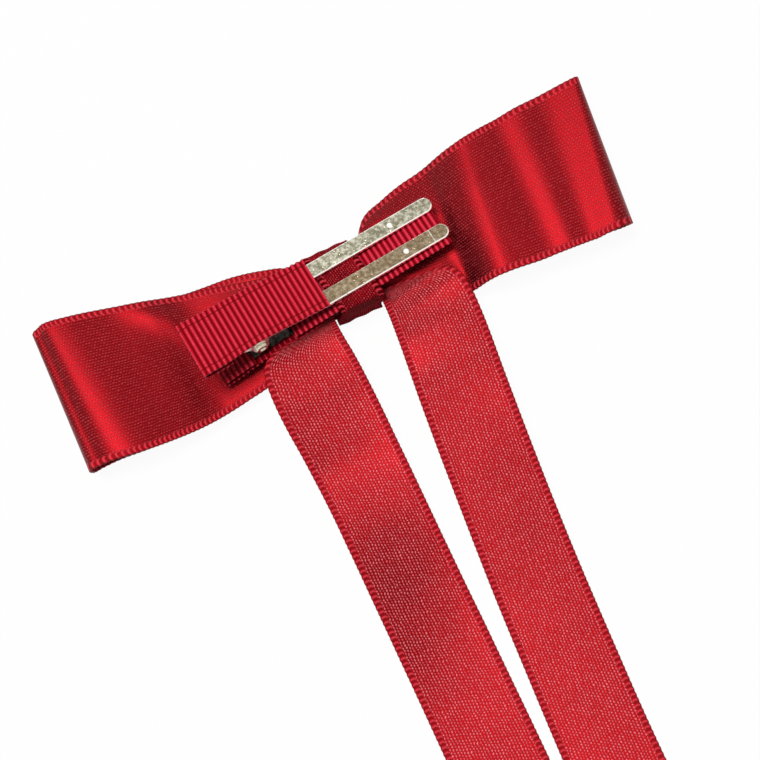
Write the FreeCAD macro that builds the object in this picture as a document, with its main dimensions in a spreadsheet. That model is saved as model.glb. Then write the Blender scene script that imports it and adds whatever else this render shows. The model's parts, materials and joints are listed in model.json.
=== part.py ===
import FreeCAD, Part
import math
import os
import Sketcher

# Long-tailed satin hair bow on a lined double-prong clip, lying on its front with the clip up.
# Frame: the origin is the middle of the knot's flat front, +Z runs from the front to the clip,
# +X runs along the bow to the prongs' side, and the tails hang towards -Y. Millimetres and degrees.

doc = FreeCAD.newDocument("HairBow")
sizes = doc.addObject("Spreadsheet::Sheet", "Sizes")

# name, value, what it is
table = [
    # ribbons
    ("satin_thick", 0.4, "thickness of a satin layer"),
    ("loop_wide", 26.4, "width of the bow's satin ribbon"),
    ("loop_reach", 50.6, "from the knot's middle to a loop's fold"),
    ("loop_deep", 8.2, "thickness of a loop at its fold"),
    ("loop_high_edge", 14.6, "height in Y of the loops' upper selvage at the folds"),
    ("fold_round", 3.9, "outer radius of a loop's fold"),
    ("lever_side_dip", 26.0, "where the clip's lever presses the back layer, from the knot"),
    ("lever_side_dip_deep", 3.0, "thickness of the loop there"),
    ("lever_side_full", 40.0, "where that loop reaches its full thickness"),
    ("prong_side_low", 19.6, "how far the other loop stays low under the tail"),
    ("prong_side_low_deep", 4.5, "thickness of that loop there"),
    ("prong_side_full", 31.0, "where that loop reaches its full thickness"),
    ("shoulder_out", 19.0, "where the loops' upper selvage bends, from the knot"),
    ("shoulder_drop", 3.6, "how far below the fold's upper corner it bends"),
    ("lower_shoulder_out", 15.0, "where the loops' lower selvage bends, from the knot"),
    ("neck_half", 5.0, "half the height of the gathered neck"),
    ("neck_long", 5.5, "half the length of the gathered neck"),
    ("neck_thick", 3.15, "thickness of the gathered neck"),
    # gathering thread
    ("thread_thick", 0.35, "thickness of the gathering thread"),
    ("thread_turns", 4, "turns of the gathering thread"),
    # tails
    ("tail_wide", 15.0, "width of the tail ribbon"),
    ("tail_reach", 200.0, "from the knot's middle to the tails' points"),
    ("tail_slant", 9.0, "length of the slant cut at the ends"),
    ("tail_gap", 1.4, "gap between the tails where they run parallel"),
    ("tail_middle", -0.7, "middle of that gap in X"),
    ("tail_knee", -89.0, "where the tails begin to run parallel"),
    ("tail_clear", 0.12, "gap between the band and the tails' inner selvages"),
    ("tail_shoulder", -5.0, "upper edge of the tails beside the knot"),
    ("tail_round", 4.5, "radius of the tails' shoulders"),
    ("tail_brow", -12.8, "where the tails clear the loops' lower selvage"),
    ("tail_brow_high", 5.2, "height of the tails' underside there"),
    ("tail_land", -62.0, "where the tails come down to the surface"),
    # centre band
    ("band_long", 8.0, "width of the centre band, gathered"),
    ("band_shift", 0.75, "middle of the band in X"),
    ("band_round", 1.0, "radius of the band's corners"),
    # grosgrain
    ("grosgrain_wide", 9.2, "width of the grosgrain ribbon"),
    ("grosgrain_thick", 0.45, "thickness of the grosgrain"),
    ("cover_shift", 0.35, "sideways offset of the grosgrain on the upper lever"),
    ("lining_shift", -0.4, "sideways offset of the grosgrain on the base jaw"),
    ("lining_start", 5.7, "where the lining starts, ahead of the pin"),
    ("lining_short", 0.6, "how far the lining stops short of the prongs' tips"),
    ("flap_long", 4.6, "grosgrain turned under the upper lever's end"),
    ("base_flap_long", 4.0, "grosgrain turned over the base lever's end"),
    ("base_cover_reach", 9.5, "where the base's outer grosgrain ends, ahead of the pin"),
    # clip
    ("metal_thick", 0.7, "thickness of the clip's steel"),
    ("metal_wide", 8.2, "width of the clip"),
    ("prong_wide", 2.7, "width of a prong"),
    ("prong_reach", 36.2, "from the pin to the prongs' tips"),
    ("prong_root", 13.4, "from the pin to the prongs' roots"),
    ("prong_rise", 1.1, "how much higher the roots lie than the tips"),
    ("prong_bevel", 0.14, "bevel along the prongs' top edges"),
    ("dimple_back", 7.9, "from a prong's tip to its dimple"),
    ("dimple_round", 0.6, "radius of a dimple's mouth"),
    ("lever_reach", 9.7, "from the pin to the upper lever's end"),
    ("lever_lift", 3.75, "height of the upper lever's end over the pin, underside"),
    ("base_reach", 35.5, "from the pin to the base jaw's tip"),
    ("base_tail", 8.1, "from the pin to the base lever's end"),
    ("base_bend", 1.0, "where the base lever bends down, ahead of the pin"),
    ("base_droop", 10.0, "angle of the base lever"),
    ("base_corner", 2.4, "corner radius of the base jaw's tip"),
    ("pin_rise", 2.0, "height of the pin over the base jaw's inner face"),
    ("pin_round", 0.8, "radius of the hinge pin"),
    ("pin_head_round", 1.15, "radius of the pin's flared ends"),
    ("pin_head_long", 0.45, "length of a flared end"),
    ("ear_thick", 0.6, "thickness of the ears"),
    ("ear_round", 1.5, "radius of the ears round the pin"),
    ("ear_foot", 3.0, "how far the base's ears run behind the pin at their foot"),
    ("jaw_ear_front", 2.0, "how far the upper jaw's ears run ahead of the pin at their root"),
    ("jaw_ear_back", 4.2, "how far they run behind it"),
    ("ear_nose", 5.3, "how far the base jaw's ears run forward"),
    ("ear_nose_high", 0.5, "height of that nose over the pin"),
    ("wire_thick", 0.6, "wire of the torsion spring"),
    ("coil_round", 1.32, "mean radius of its coil"),
    ("coil_turns", 5, "whole turns of its coil"),
    ("coil_pitch", 0.68, "pitch of its coil"),
    ("spring_leg", 6.2, "length of its legs"),
    ("glue_thick", 0.4, "thickness of the glue under the clip"),
    ("glue_long", 17.0, "length of the glue"),
    ("glue_wide", 6.6, "width of the glue"),
    # clearances and the clip's seat
    ("fit_gap", 0.05, "gap between layers that lie on each other"),
    ("run_gap", 0.04, "radial clearance of the pin"),
    ("side_gap", 0.1, "clearance between the two pairs of ears"),
    ("bite_gap", 0.08, "clearance of the closed tips over the lining"),
    ("pin_x", -16.6, "middle of the pin in X"),
    ("pin_y", -1.7, "middle of the pin in Y"),
    ("clip_yaw", 6.9, "turn of the clip from the bow's length"),
    ("clip_roll", 7.5, "tilt of the clip, its -Y side raised"),
]
for row, (name, value, meaning) in enumerate(table, start=1):
    sizes.set(f"A{row}", meaning)
    sizes.set(f"B{row}", str(value))
    sizes.setAlias(f"B{row}", name)
doc.recompute()


def cell(name):
    return f"Sizes.{name}"


def value(text):
    """The number that an expression of the sheet's cells gives."""
    found = sizes.evalExpression(text)
    return float(getattr(found, "Value", found))


def size(name):
    return value(cell(name))


S = {name: cell(name) for name, _, _ in table}

# heights at the knot, from the front up
neck_low = f"({S['satin_thick']} + {S['thread_thick']} + 2 * {S['fit_gap']})"
neck_high = f"({neck_low} + {S['neck_thick']})"
tail_low = f"({neck_high} + {S['thread_thick']} + {S['fit_gap']})"
tail_high = f"({tail_low} + {S['satin_thick']})"
roll_drop = f"({S['grosgrain_wide']} / 2 * sin({S['clip_roll']} * 1 deg))"
pin_high = (
    f"({tail_high} + {S['glue_thick']} + {roll_drop} + {S['grosgrain_thick']}"
    f" + {S['metal_thick']} + {S['pin_rise']})"
)

# heights in the clip's own frame, from the pin's axis
inner_face = f"(-{S['pin_rise']})"
outer_face = f"({inner_face} - {S['metal_thick']})"
lining_top = f"({inner_face} + {S['grosgrain_thick']})"
tip_under = f"({lining_top} + {S['bite_gap']})"
root_under = f"({tip_under} + {S['prong_rise']})"
lever_slope = f"(({S['lever_lift']} - {root_under}) / ({S['prong_root']} + {S['lever_reach']}))"
droop_slope = f"tan({S['base_droop']} * 1 deg)"


def lever_under(x):
    """Height of the upper lever's underside at x, in the clip's frame."""
    return f"({root_under} + ({S['prong_root']} - ({x})) * {lever_slope})"


def base_inner(x):
    """Height of the base lever's inner face at x, behind the bend."""
    return f"({inner_face} - ({S['base_bend']} - ({x})) * {droop_slope})"


# the clip's frame: origin in the middle of the pin, x to the tips, y along the pin
turn = FreeCAD.Rotation(FreeCAD.Vector(0, 0, 1), size("clip_yaw")) * FreeCAD.Rotation(
    FreeCAD.Vector(1, 0, 0), -size("clip_roll")
)
clip_seat = FreeCAD.Placement(FreeCAD.Vector(size("pin_x"), size("pin_y"), value(pin_high)), turn)
print("pin middle", clip_seat.Base, "pin axis", turn.multVec(FreeCAD.Vector(0, 1, 0)))


def new_body(label, seat=None):
    body = doc.addObject("PartDesign::Body", label)
    body.Label = label
    if seat is not None:
        body.Placement = seat
    return body


def new_sketch(body, name, role, offset=None):
    """An empty sketch on one of the body's own planes; offset is an expression along its normal."""
    sketch = body.newObject("Sketcher::SketchObject", name)
    plane = [o for o in body.Origin.OriginFeatures if o.Role == role][0]
    sketch.AttachmentSupport = (plane, [""])
    sketch.MapMode = "FlatFace"
    if offset is not None:
        sketch.setExpression("AttachmentOffset.Base.z", offset)
    return sketch


def tie_point(sketch, geo, pos, x, y):
    """Holds a point of the sketch at the expressions x and y."""
    for kind, text, axis in (("DistanceX", x, -2), ("DistanceY", y, -1)):
        if text == "0":
            sketch.addConstraint(Sketcher.Constraint("PointOnObject", geo, pos, axis))
            continue
        n = sketch.addConstraint(Sketcher.Constraint(kind, -1, 1, geo, pos, value(text)))
        sketch.setExpression(f"Constraints[{n}]", text)


def add_outline(sketch, corners):
    """A closed outline of straight sides through corners, each a pair of expressions."""
    points = [FreeCAD.Vector(value(x), value(y), 0) for x, y in corners]
    first = len(sketch.Geometry)
    count = len(points)
    for i in range(count):
        sketch.addGeometry(Part.LineSegment(points[i], points[(i + 1) % count]))
    for i in range(count):
        sketch.addConstraint(
            Sketcher.Constraint("Coincident", first + i, 2, first + (i + 1) % count, 1)
        )
    for i, (x, y) in enumerate(corners):
        tie_point(sketch, first + i, 1, x, y)


def add_circle(sketch, x, y, radius):
    circle = Part.Circle(
        FreeCAD.Vector(value(x), value(y), 0), FreeCAD.Vector(0, 0, 1), value(radius)
    )
    geo = sketch.addGeometry(circle)
    tie_point(sketch, geo, 3, x, y)
    n = sketch.addConstraint(Sketcher.Constraint("Radius", geo, value(radius)))
    sketch.setExpression(f"Constraints[{n}]", radius)


def pad(body, name, sketch, length, symmetric=True, backwards=False):
    feature = body.newObject("PartDesign::Pad", name)
    feature.Profile = sketch
    feature.setExpression("Length", length)
    if symmetric:
        feature.SideType = "Symmetric"
    feature.Reversed = backwards
    body.Tip = feature
    doc.recompute()
    return feature


def pocket(body, name, sketch, width=None):
    """Cuts the sketch's outline out on both sides of its plane, right through or to a full width."""
    before = body.Shape.Volume
    feature = body.newObject("PartDesign::Pocket", name)
    feature.Profile = sketch
    feature.SideType = "Symmetric"
    if width is None:
        feature.Type = "ThroughAll"
    else:
        feature.setExpression("Length", width)
    body.Tip = feature
    doc.recompute()
    if not body.Shape.Volume < before:
        raise RuntimeError(f"{body.Label}: {name} cuts nothing")
    return feature


def edges_at(shape, along, spots):
    """Names of the straight edges that run along a direction and pass through one of the spots."""
    found = []
    for number, edge in enumerate(shape.Edges, start=1):
        if not isinstance(edge.Curve, Part.Line) or abs(abs(edge.Curve.Direction * along) - 1) > 1e-6:
            continue
        for spot in spots:
            gap = spot - edge.CenterOfMass
            if (gap - along * (gap * along)).Length < 1e-4:
                found.append(f"Edge{number}")
    return found


def round_edges(body, name, along, spots, radius):
    """Fillets the edges along a direction through spots, which are triples of expressions."""
    base = body.Tip
    places = [FreeCAD.Vector(*(value(text) for text in spot)) for spot in spots]
    names = edges_at(base.Shape, along, places)
    if len(names) < len(spots):
        raise RuntimeError(f"{body.Label}: {name} finds {len(names)} of {len(spots)} edges")
    feature = body.newObject("PartDesign::Fillet", name)
    feature.Base = (base, names)
    feature.setExpression("Radius", radius)
    body.Tip = feature
    doc.recompute()
    return feature


across_x = FreeCAD.Vector(1, 0, 0)
across_y = FreeCAD.Vector(0, 1, 0)
upright = FreeCAD.Vector(0, 0, 1)


def make_bow_loops():
    """The wide satin ribbon: two flattened loops seen from the side, cut to the bow's outline."""
    body = new_body("bow_loops")
    reach, thick, deep = S["loop_reach"], S["satin_thick"], S["loop_deep"]
    neck, rest_out = S["neck_long"], f"({S['neck_long']} + 7)"
    lever_line = [
        (f"-{S['lever_side_full']}", deep),
        (f"-{S['lever_side_dip']}", S["lever_side_dip_deep"]),
        (f"-{neck}", neck_high),
    ]
    prong_line = [
        (neck, neck_high),
        (S["prong_side_low"], S["prong_side_low_deep"]),
        (S["prong_side_full"], deep),
    ]
    side = new_sketch(body, "loops_side", "XZ_Plane")
    add_outline(
        side,
        [(f"-{reach}", "0"), (f"-{reach}", deep)]
        + lever_line
        + prong_line
        + [(reach, deep), (reach, "0"), (rest_out, "0"), (neck, neck_low)]
        + [(f"-{neck}", neck_low), (f"-{rest_out}", "0")],
    )
    root = f"({neck} + 2.5)"
    for sign, line, low in (("-", lever_line[:2], S["lever_side_dip_deep"]),
                            ("", prong_line[:0:-1], S["prong_side_low_deep"])):
        add_outline(
            side,
            [(f"{sign}({reach} - {thick})", thick)]
            + [(f"{sign}({reach} - {thick})", f"({deep} - {thick})")]
            + [(x, f"({z} - {thick})") for x, z in line]
            + [(f"{sign}{root}", f"({low} * 0.4 + {neck_high} * 0.6 - {thick} * 1.5)")]
            + [(f"{sign}{root}", f"({neck_low} + {thick})")]
            + [(f"{sign}{rest_out}", thick)],
        )
    pad(body, "loops_pad", side, f"(4 * {S['loop_wide']})")
    inner_out = f"({reach} - {thick})"
    spots = [(f"{sign}{reach}", "0", z) for sign in ("-", "") for z in ("0", deep)]
    round_edges(body, "folds_outside", across_y, spots, S["fold_round"])
    spots = [(f"{sign}{inner_out}", "0", z) for sign in ("-", "") for z in (thick, f"({deep} - {thick})")]
    round_edges(body, "folds_inside", across_y, spots, f"({S['fold_round']} - {thick})")

    plan = new_sketch(body, "loops_plan", "XY_Plane")
    high, low = S["loop_high_edge"], f"({S['loop_high_edge']} - {S['loop_wide']})"
    beyond = f"({reach} + 5)"
    rim = f"(2 * {S['loop_wide']})"
    bend = f"({high} - {S['shoulder_drop']})"
    add_outline(plan, [(f"-{beyond}", f"-{rim}"), (beyond, f"-{rim}"), (beyond, rim), (f"-{beyond}", rim)])
    half = S["neck_half"]
    add_outline(
        plan,
        [(f"-({reach} + 1)", low), (f"-{S['lower_shoulder_out']}", f"({low} * 0.88)")]
        + [(f"-{neck}", f"-{half}"), (neck, f"-{half}")]
        + [(S["lower_shoulder_out"], f"({low} * 0.88)"), (f"({reach} + 1)", low)]
        + [(f"({reach} + 1)", high), (S["shoulder_out"], bend), (neck, half)]
        + [(f"-{neck}", half), (f"-{S['shoulder_out']}", f"({bend} - 1.6)"), (f"-({reach} + 1)", high)],
    )
    pocket(body, "loops_outline", plan)


def make_gather_thread():
    """Turns of thread round the pleated neck, as one flat ring."""
    body = new_body("gather_thread")
    ring = new_sketch(body, "thread_ring", "YZ_Plane")
    for grow in (S["thread_thick"], "0"):
        y = f"({S['neck_half']} + {S['fit_gap']} / 2 + {grow})"
        low = f"({neck_low} - {S['fit_gap']} / 2 - {grow})"
        high = f"({neck_high} + {S['fit_gap']} / 2 + {grow})"
        add_outline(ring, [(f"-{y}", low), (y, low), (y, high), (f"-{y}", high)])
    pad(body, "thread_pad", ring, f"({S['thread_turns']} * {S['thread_thick']})")
    y = f"({S['neck_half']} + {S['fit_gap']} / 2 + {S['thread_thick']})"
    low = f"({neck_low} - {S['fit_gap']} / 2 - {S['thread_thick']})"
    high = f"({neck_high} + {S['fit_gap']} / 2 + {S['thread_thick']})"
    spots = [("0", across, up) for across in (f"-{y}", y) for up in (low, high)]
    round_edges(body, "thread_corners", across_x, spots, f"({S['band_round']} - {S['satin_thick']} - {S['fit_gap']} * 2)")


def make_tail_ribbon():
    """The narrow ribbon: gathered through the band, its two ends fanned and hung side by side."""
    body = new_body("tail_ribbon")
    thick = S["satin_thick"]
    top = f"({S['neck_half']} - 0.4)"
    under = [
        (top, tail_low),
        (S["tail_brow"], S["tail_brow_high"]),
        (S["tail_land"], "0"),
        (f"-{S['tail_reach']}", "0"),
    ]
    over = [(y, f"({z} + {thick})") for y, z in reversed(under)]
    side = new_sketch(body, "tails_side", "YZ_Plane")
    add_outline(side, under + over)
    pad(body, "tails_pad", side, f"(4 * {S['tail_wide']})")
    spots = [("0", y, z) for y, z in under[1:3]]
    round_edges(body, "tails_bend_under", across_x, [spots[0]], "6")
    round_edges(body, "tails_land_under", across_x, [spots[1]], "12")
    round_edges(body, "tails_bend_over", across_x, [("0", y, f"({z} + {thick})") for _, y, z in spots[:1]],
                f"(6 + {thick})")
    round_edges(body, "tails_land_over", across_x, [("0", y, f"({z} + {thick})") for _, y, z in spots[1:]],
                f"(12 - {thick})")

    plan = new_sketch(body, "tails_plan", "XY_Plane")
    half_gap = f"({S['tail_gap']} / 2)"
    reach, knee = f"-{S['tail_reach']}", S["tail_knee"]
    out = f"(3 * {S['tail_wide']})"
    add_outline(plan, [(f"-{out}", f"({reach} - 5)"), (out, f"({reach} - 5)"), (out, "30"), (f"-{out}", "30")])
    crotch = f"-({S['neck_half']} + 0.3)"
    waist = f"({S['neck_long']} - 0.5)"

    def tail(sign, inner_top):
        inner = f"({S['tail_middle']} {sign} {half_gap})"
        outer = f"({inner} {sign} {S['tail_wide']})"
        outer_top = f"({inner_top} {sign} {S['tail_wide']})"
        return [
            (inner_top, crotch),
            (inner, knee),
            (inner, f"({reach} + {S['tail_slant']})"),
            (outer, reach),
            (outer, knee),
            (outer_top, S["tail_brow"]),
            (outer_top, S["tail_shoulder"]),
            (f"({sign}{waist} {sign} 6)", f"({S['tail_shoulder']} + 1.5)"),
            (f"({sign}{waist})", top),
        ]

    inner_tops = [
        (sign, f"({S['band_shift']} {sign} ({S['band_long']} / 2 + {S['tail_clear']}))") for sign in ("+", "-")
    ]
    right, left = (tail(sign, inner_top) for sign, inner_top in inner_tops)
    add_outline(plan, right + left[::-1])
    pocket(body, "tails_outline", plan)
    corners = [
        (f"({inner_top} {sign} {S['tail_wide']})", S["tail_shoulder"], tail_high)
        for sign, inner_top in inner_tops
    ]
    round_edges(body, "tails_shoulders", upright, corners, S["tail_round"])


def make_centre_band():
    """The satin band: a closed ring round the neck and the base jaw, its back following the clip."""
    body = new_body("centre_band")
    ring = new_sketch(body, "band_ring", "YZ_Plane", S["band_shift"])
    clip_y = f"({S['pin_y']} - {S['pin_x']} * tan({S['clip_yaw']} * 1 deg))"
    slope = f"tan({S['clip_roll']} * 1 deg)"
    back = f"({pin_high} + {lining_top} + 4 * {S['fit_gap']})"
    inner = f"({S['neck_half']} + {S['thread_thick']} + 2 * {S['fit_gap']})"
    for grow in (S["satin_thick"], "0"):
        y = f"({inner} + {grow})"
        low = f"({S['satin_thick']} - {grow})"
        high = [f"({back} + ({clip_y} - ({side}{y})) * {slope} + {grow})" for side in ("-", "+")]
        add_outline(
            ring,
            [(f"-{y}", low if grow == "0" else "0"), (y, low if grow == "0" else "0")]
            + [(y, high[1]), (f"-{y}", high[0])],
        )
    pad(body, "band_pad", ring, S["band_long"])
    for name, grow in (("inside", "0"), ("outside", S["satin_thick"])):
        y = f"({inner} + {grow})"
        high = [f"({back} + ({clip_y} - ({side}{y})) * {slope} + {grow})" for side in ("-", "+")]
        low = f"({S['satin_thick']} - {grow})"
        corners = [(f"-{y}", low), (y, low), (y, high[1]), (f"-{y}", high[0])]
        spots = [(S["band_shift"], across, up) for across, up in corners]
        round_edges(body, f"band_{name}", across_x, spots, f"({S['band_round']} - {S['satin_thick']} + {grow})")


def make_glue_pad():
    """Hot-melt glue between the clip's underside and the gathered ribbons."""
    body = new_body("glue_pad", clip_seat)
    top = f"({outer_face} - {S['grosgrain_thick']} - {S['fit_gap']})"
    plan = new_sketch(body, "glue_plan", "XY_Plane", top)
    middle = f"(-{S['pin_x']} + {S['band_shift']})"
    x = [f"({middle} - {S['glue_long']} / 2)", f"({middle} + {S['glue_long']} / 2)"]
    y = f"({S['glue_wide']} / 2)"
    add_outline(plan, [(x[0], f"-{y}"), (x[1], f"-{y}"), (x[1], y), (x[0], y)])
    pad(body, "glue_pad_pad", plan, f"({S['glue_thick']} - {S['fit_gap']})", symmetric=False, backwards=True)
    spots = [(px, py, top) for px in x for py in (f"-{y}", y)]
    round_edges(body, "glue_corners", upright, spots, f"({y} / 2)")


def make_base_jaw():
    """The clip's base: a flat strip with a lever bent down behind, two ears inside its edges."""
    body = new_body("base_jaw", clip_seat)
    tip, bend, end = S["base_reach"], S["base_bend"], f"-{S['base_tail']}"
    side = new_sketch(body, "base_side", "XZ_Plane")
    add_outline(
        side,
        [(tip, outer_face), (tip, inner_face), (bend, inner_face), (end, base_inner(end))]
        + [(end, f"({base_inner(end)} - {S['metal_thick']})"), (bend, outer_face)],
    )
    pad(body, "base_pad", side, S["metal_wide"])
    y = f"({S['metal_wide']} / 2)"
    spots = [(tip, sign + y, inner_face) for sign in ("-", "")]
    round_edges(body, "base_tip_corners", upright, spots, S["base_corner"])
    spots = [(end, sign + y, base_inner(end)) for sign in ("-", "")]
    round_edges(body, "base_end_corners", upright, spots, "1.2")

    # the ears stand on the strip, inside the upper jaw's ears
    sink = f"({inner_face} - {S['metal_thick']} / 3)"
    outer = f"({S['metal_wide']} / 2 - {S['ear_thick']} - {S['side_gap']})"
    inner = f"({outer} - {S['ear_thick']})"
    ring, nose, foot = S["ear_round"], S["ear_nose"], f"(-{S['ear_foot']})"
    ears = new_sketch(body, "base_ears_side", "XZ_Plane")
    add_outline(
        ears,
        [(nose, sink), (f"({nose} - 0.4)", S["ear_nose_high"]), (ring, S["ear_nose_high"])]
        + [(f"({ring} * 0.5)", ring), (f"(-{ring} * 0.5)", ring), (f"-{ring}", f"({ring} * 0.4)")]
        + [(foot, f"({base_inner(foot)} - {S['metal_thick']} / 3)"), (bend, sink)],
    )
    pad(body, "base_ears_pad", ears, f"(2 * {outer})")
    between = new_sketch(body, "base_ears_between", "XZ_Plane")
    behind, ahead, above = f"({foot} - 1)", f"({nose} + 1)", f"({ring} + 1)"
    add_outline(
        between,
        [(ahead, inner_face), (bend, inner_face), (behind, base_inner(behind))]
        + [(behind, above), (ahead, above)],
    )
    pocket(body, "base_ears_gap", between, f"(2 * {inner})")
    hole = new_sketch(body, "base_pin_hole", "XZ_Plane")
    add_circle(hole, "0", "0", f"({S['pin_round']} + {S['run_gap']})")
    pocket(body, "base_pin_bore", hole)


def make_prong_jaw():
    """The clip's moving jaw: a lever plate that forks into two flat prongs, with ears on the pin."""
    body = new_body("prong_jaw", clip_seat)
    tip, root, end = S["prong_reach"], S["prong_root"], f"-{S['lever_reach']}"
    thick = S["metal_thick"]
    side = new_sketch(body, "jaw_side", "XZ_Plane")
    under = [(tip, tip_under), (root, root_under), (end, S["lever_lift"])]
    add_outline(side, under + [(x, f"({z} + {thick})") for x, z in reversed(under)])
    pad(body, "jaw_pad", side, S["metal_wide"])
    round_edges(body, "jaw_bend_under", across_y, [(root, "0", root_under)], "30")
    round_edges(body, "jaw_bend_over", across_y, [(root, "0", f"({root_under} + {thick})")], f"(30 - {thick})")

    slot = new_sketch(body, "jaw_slot", "XY_Plane")
    half = f"({S['metal_wide']} / 2)"
    y = f"({half} - {S['prong_wide']})"
    slot_root = f"({root} - 1.5)"
    add_outline(slot, [(slot_root, f"-{y}"), (f"({tip} + 1)", f"-{y}"), (f"({tip} + 1)", y), (slot_root, y)])
    pocket(body, "jaw_fork", slot)
    spots = [(tip, sign + across, tip_under) for sign in ("-", "") for across in (half, y)]
    round_edges(body, "prong_tips", upright, spots, f"({S['prong_wide']} * 0.49)")

    # bevels along the top edges of the prongs
    base = body.Tip
    top_edges = []
    for number, edge in enumerate(base.Shape.Edges, start=1):
        spot = edge.CenterOfMass
        level = value(tip_under) + (value(tip) - spot.x) * (value(root_under) - value(tip_under)) / (
            value(tip) - value(root)
        ) + value(thick)
        if spot.x > value(root) + 2 and abs(spot.z - level) < 0.05:
            top_edges.append(f"Edge{number}")
    bevel = body.newObject("PartDesign::Chamfer", "prong_bevels")
    bevel.Base = (base, top_edges)
    bevel.setExpression("Size", S["prong_bevel"])
    body.Tip = bevel
    doc.recompute()

    # ears, flush with the strip's edges, outside the base jaw's ears
    inner = f"({half} - {S['ear_thick']})"
    ring, front, back = S["ear_round"], S["jaw_ear_front"], S["jaw_ear_back"]
    ears = new_sketch(body, "jaw_ears_side", "XZ_Plane")
    mid = f"({thick} / 2)"
    add_outline(
        ears,
        [(front, f"({lever_under(front)} + {mid})"), (f"-{back}", f"({lever_under('-' + back)} + {mid})")]
        + [(f"-{ring}", f"({ring} * 0.4)"), (f"(-{ring} * 0.85)", f"(-{ring} * 0.6)"), (f"(-{ring} * 0.3)", f"-{ring}")]
        + [(f"({ring} * 0.3)", f"-{ring}"), (f"({ring} * 0.85)", f"(-{ring} * 0.6)"), (ring, f"({ring} * 0.4)")],
    )
    pad(body, "jaw_ears_pad", ears, S["metal_wide"])
    between = new_sketch(body, "jaw_ears_between", "XZ_Plane")
    add_outline(
        between,
        [(f"({front} + 1)", lever_under(f"({front} + 1)")), (f"(-{back} - 1)", lever_under(f"(-{back} - 1)"))]
        + [(f"(-{back} - 1)", f"(-{ring} - 1)"), (f"({front} + 1)", f"(-{ring} - 1)")],
    )
    pocket(body, "jaw_ears_gap", between, f"(2 * {inner})")
    hole = new_sketch(body, "jaw_pin_hole", "XZ_Plane")
    add_circle(hole, "0", "0", f"({S['pin_round']} + {S['run_gap']})")
    pocket(body, "jaw_pin_bore", hole)

    # dimples pressed into the prongs near their tips
    for sign in ("-", ""):
        ball = body.newObject("PartDesign::SubtractiveSphere", f"dimple_{'low' if sign else 'high'}")
        x = f"({tip} - {S['dimple_back']})"
        top = f"({tip_under} + {S['prong_rise']} * {S['dimple_back']} / ({tip} - {root}) + {thick})"
        ball.setExpression("Radius", f"({S['dimple_round']} * 1.3)")
        ball.setExpression("AttachmentOffset.Base.x", x)
        ball.setExpression("AttachmentOffset.Base.y", f"{sign}({half} - {S['prong_wide']} / 2)")
        ball.setExpression("AttachmentOffset.Base.z", f"({top} + {S['dimple_round']} * 0.85)")
        plane = [o for o in body.Origin.OriginFeatures if o.Role == "XY_Plane"][0]
        ball.AttachmentSupport = (plane, [""])
        ball.MapMode = "FlatFace"
        body.Tip = ball
        doc.recompute()


def make_grosgrain(label, shift, corners):
    """A strip of grosgrain as wide as the ribbon, from its side view."""
    body = new_body(label, clip_seat)
    side = new_sketch(body, f"{label}_side", "XZ_Plane", f"(-{shift})")
    add_outline(side, corners)
    pad(body, f"{label}_pad", side, S["grosgrain_wide"])
    return body


def make_lever_cover():
    """Grosgrain over the upper lever, folded round its end and turned under."""
    gap, cloth, thick = S["fit_gap"], S["grosgrain_thick"], S["metal_thick"]
    end, root = f"(-{S['lever_reach']})", S["prong_root"]
    flap = f"({end} + {S['flap_long']})"
    outer, inner = f"({end} - {gap} - {cloth})", f"({end} - {gap})"
    top = f"({thick} + {gap})"
    front = f"({root} - 0.3)"
    corners = [
        (front, f"({lever_under(front)} + {top})"),
        (front, f"({lever_under(front)} + {top} + {cloth})"),
        (outer, f"({lever_under(outer)} + {top} + {cloth})"),
        (outer, f"({lever_under(outer)} - {gap} - {cloth})"),
        (flap, f"({lever_under(flap)} - {gap} - {cloth})"),
        (flap, f"({lever_under(flap)} - {gap})"),
        (inner, f"({lever_under(inner)} - {gap})"),
        (inner, f"({lever_under(inner)} + {top})"),
    ]
    body = make_grosgrain("lever_cover", S["cover_shift"], corners)
    spots = [(x, S["cover_shift"], z) for x, z in (corners[2], corners[3])]
    round_edges(body, "cover_fold", across_y, spots, f"({cloth} + 0.2)")


def make_base_lining():
    """Grosgrain on the base jaw's inner face, from ahead of the ears to short of the tips."""
    gap = S["fit_gap"]
    start, stop = S["lining_start"], f"({S['prong_reach']} - {S['lining_short']})"
    corners = [(start, f"({inner_face} + {gap} / 2)"), (stop, f"({inner_face} + {gap} / 2)")]
    corners += [(stop, lining_top), (start, lining_top)]
    make_grosgrain("base_lining", S["lining_shift"], corners)


def make_base_cover():
    """Grosgrain under the base jaw's lever, folded round its end and turned over."""
    gap, cloth, thick = S["fit_gap"], S["grosgrain_thick"], S["metal_thick"]
    end, bend = f"(-{S['base_tail']})", S["base_bend"]
    flap = f"({end} + {S['base_flap_long']})"
    outer, inner = f"({end} - {gap} - {cloth})", f"({end} - {gap})"
    front = S["base_cover_reach"]
    under = f"(-{thick} - {gap})"
    corners = [
        (front, f"({inner_face} + {under})"),
        (bend, f"({inner_face} + {under})"),
        (inner, f"({base_inner(inner)} + {under})"),
        (inner, f"({base_inner(inner)} + {gap})"),
        (flap, f"({base_inner(flap)} + {gap})"),
        (flap, f"({base_inner(flap)} + {gap} + {cloth})"),
        (outer, f"({base_inner(outer)} + {gap} + {cloth})"),
        (outer, f"({base_inner(outer)} + {under} - {cloth})"),
        (bend, f"({inner_face} + {under} - {cloth})"),
        (front, f"({inner_face} + {under} - {cloth})"),
    ]
    body = make_grosgrain("base_cover", S["lining_shift"], corners)
    spots = [(x, S["lining_shift"], z) for x, z in (corners[6], corners[7])]
    round_edges(body, "base_cover_fold", across_y, spots, f"({cloth} + 0.2)")


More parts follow.
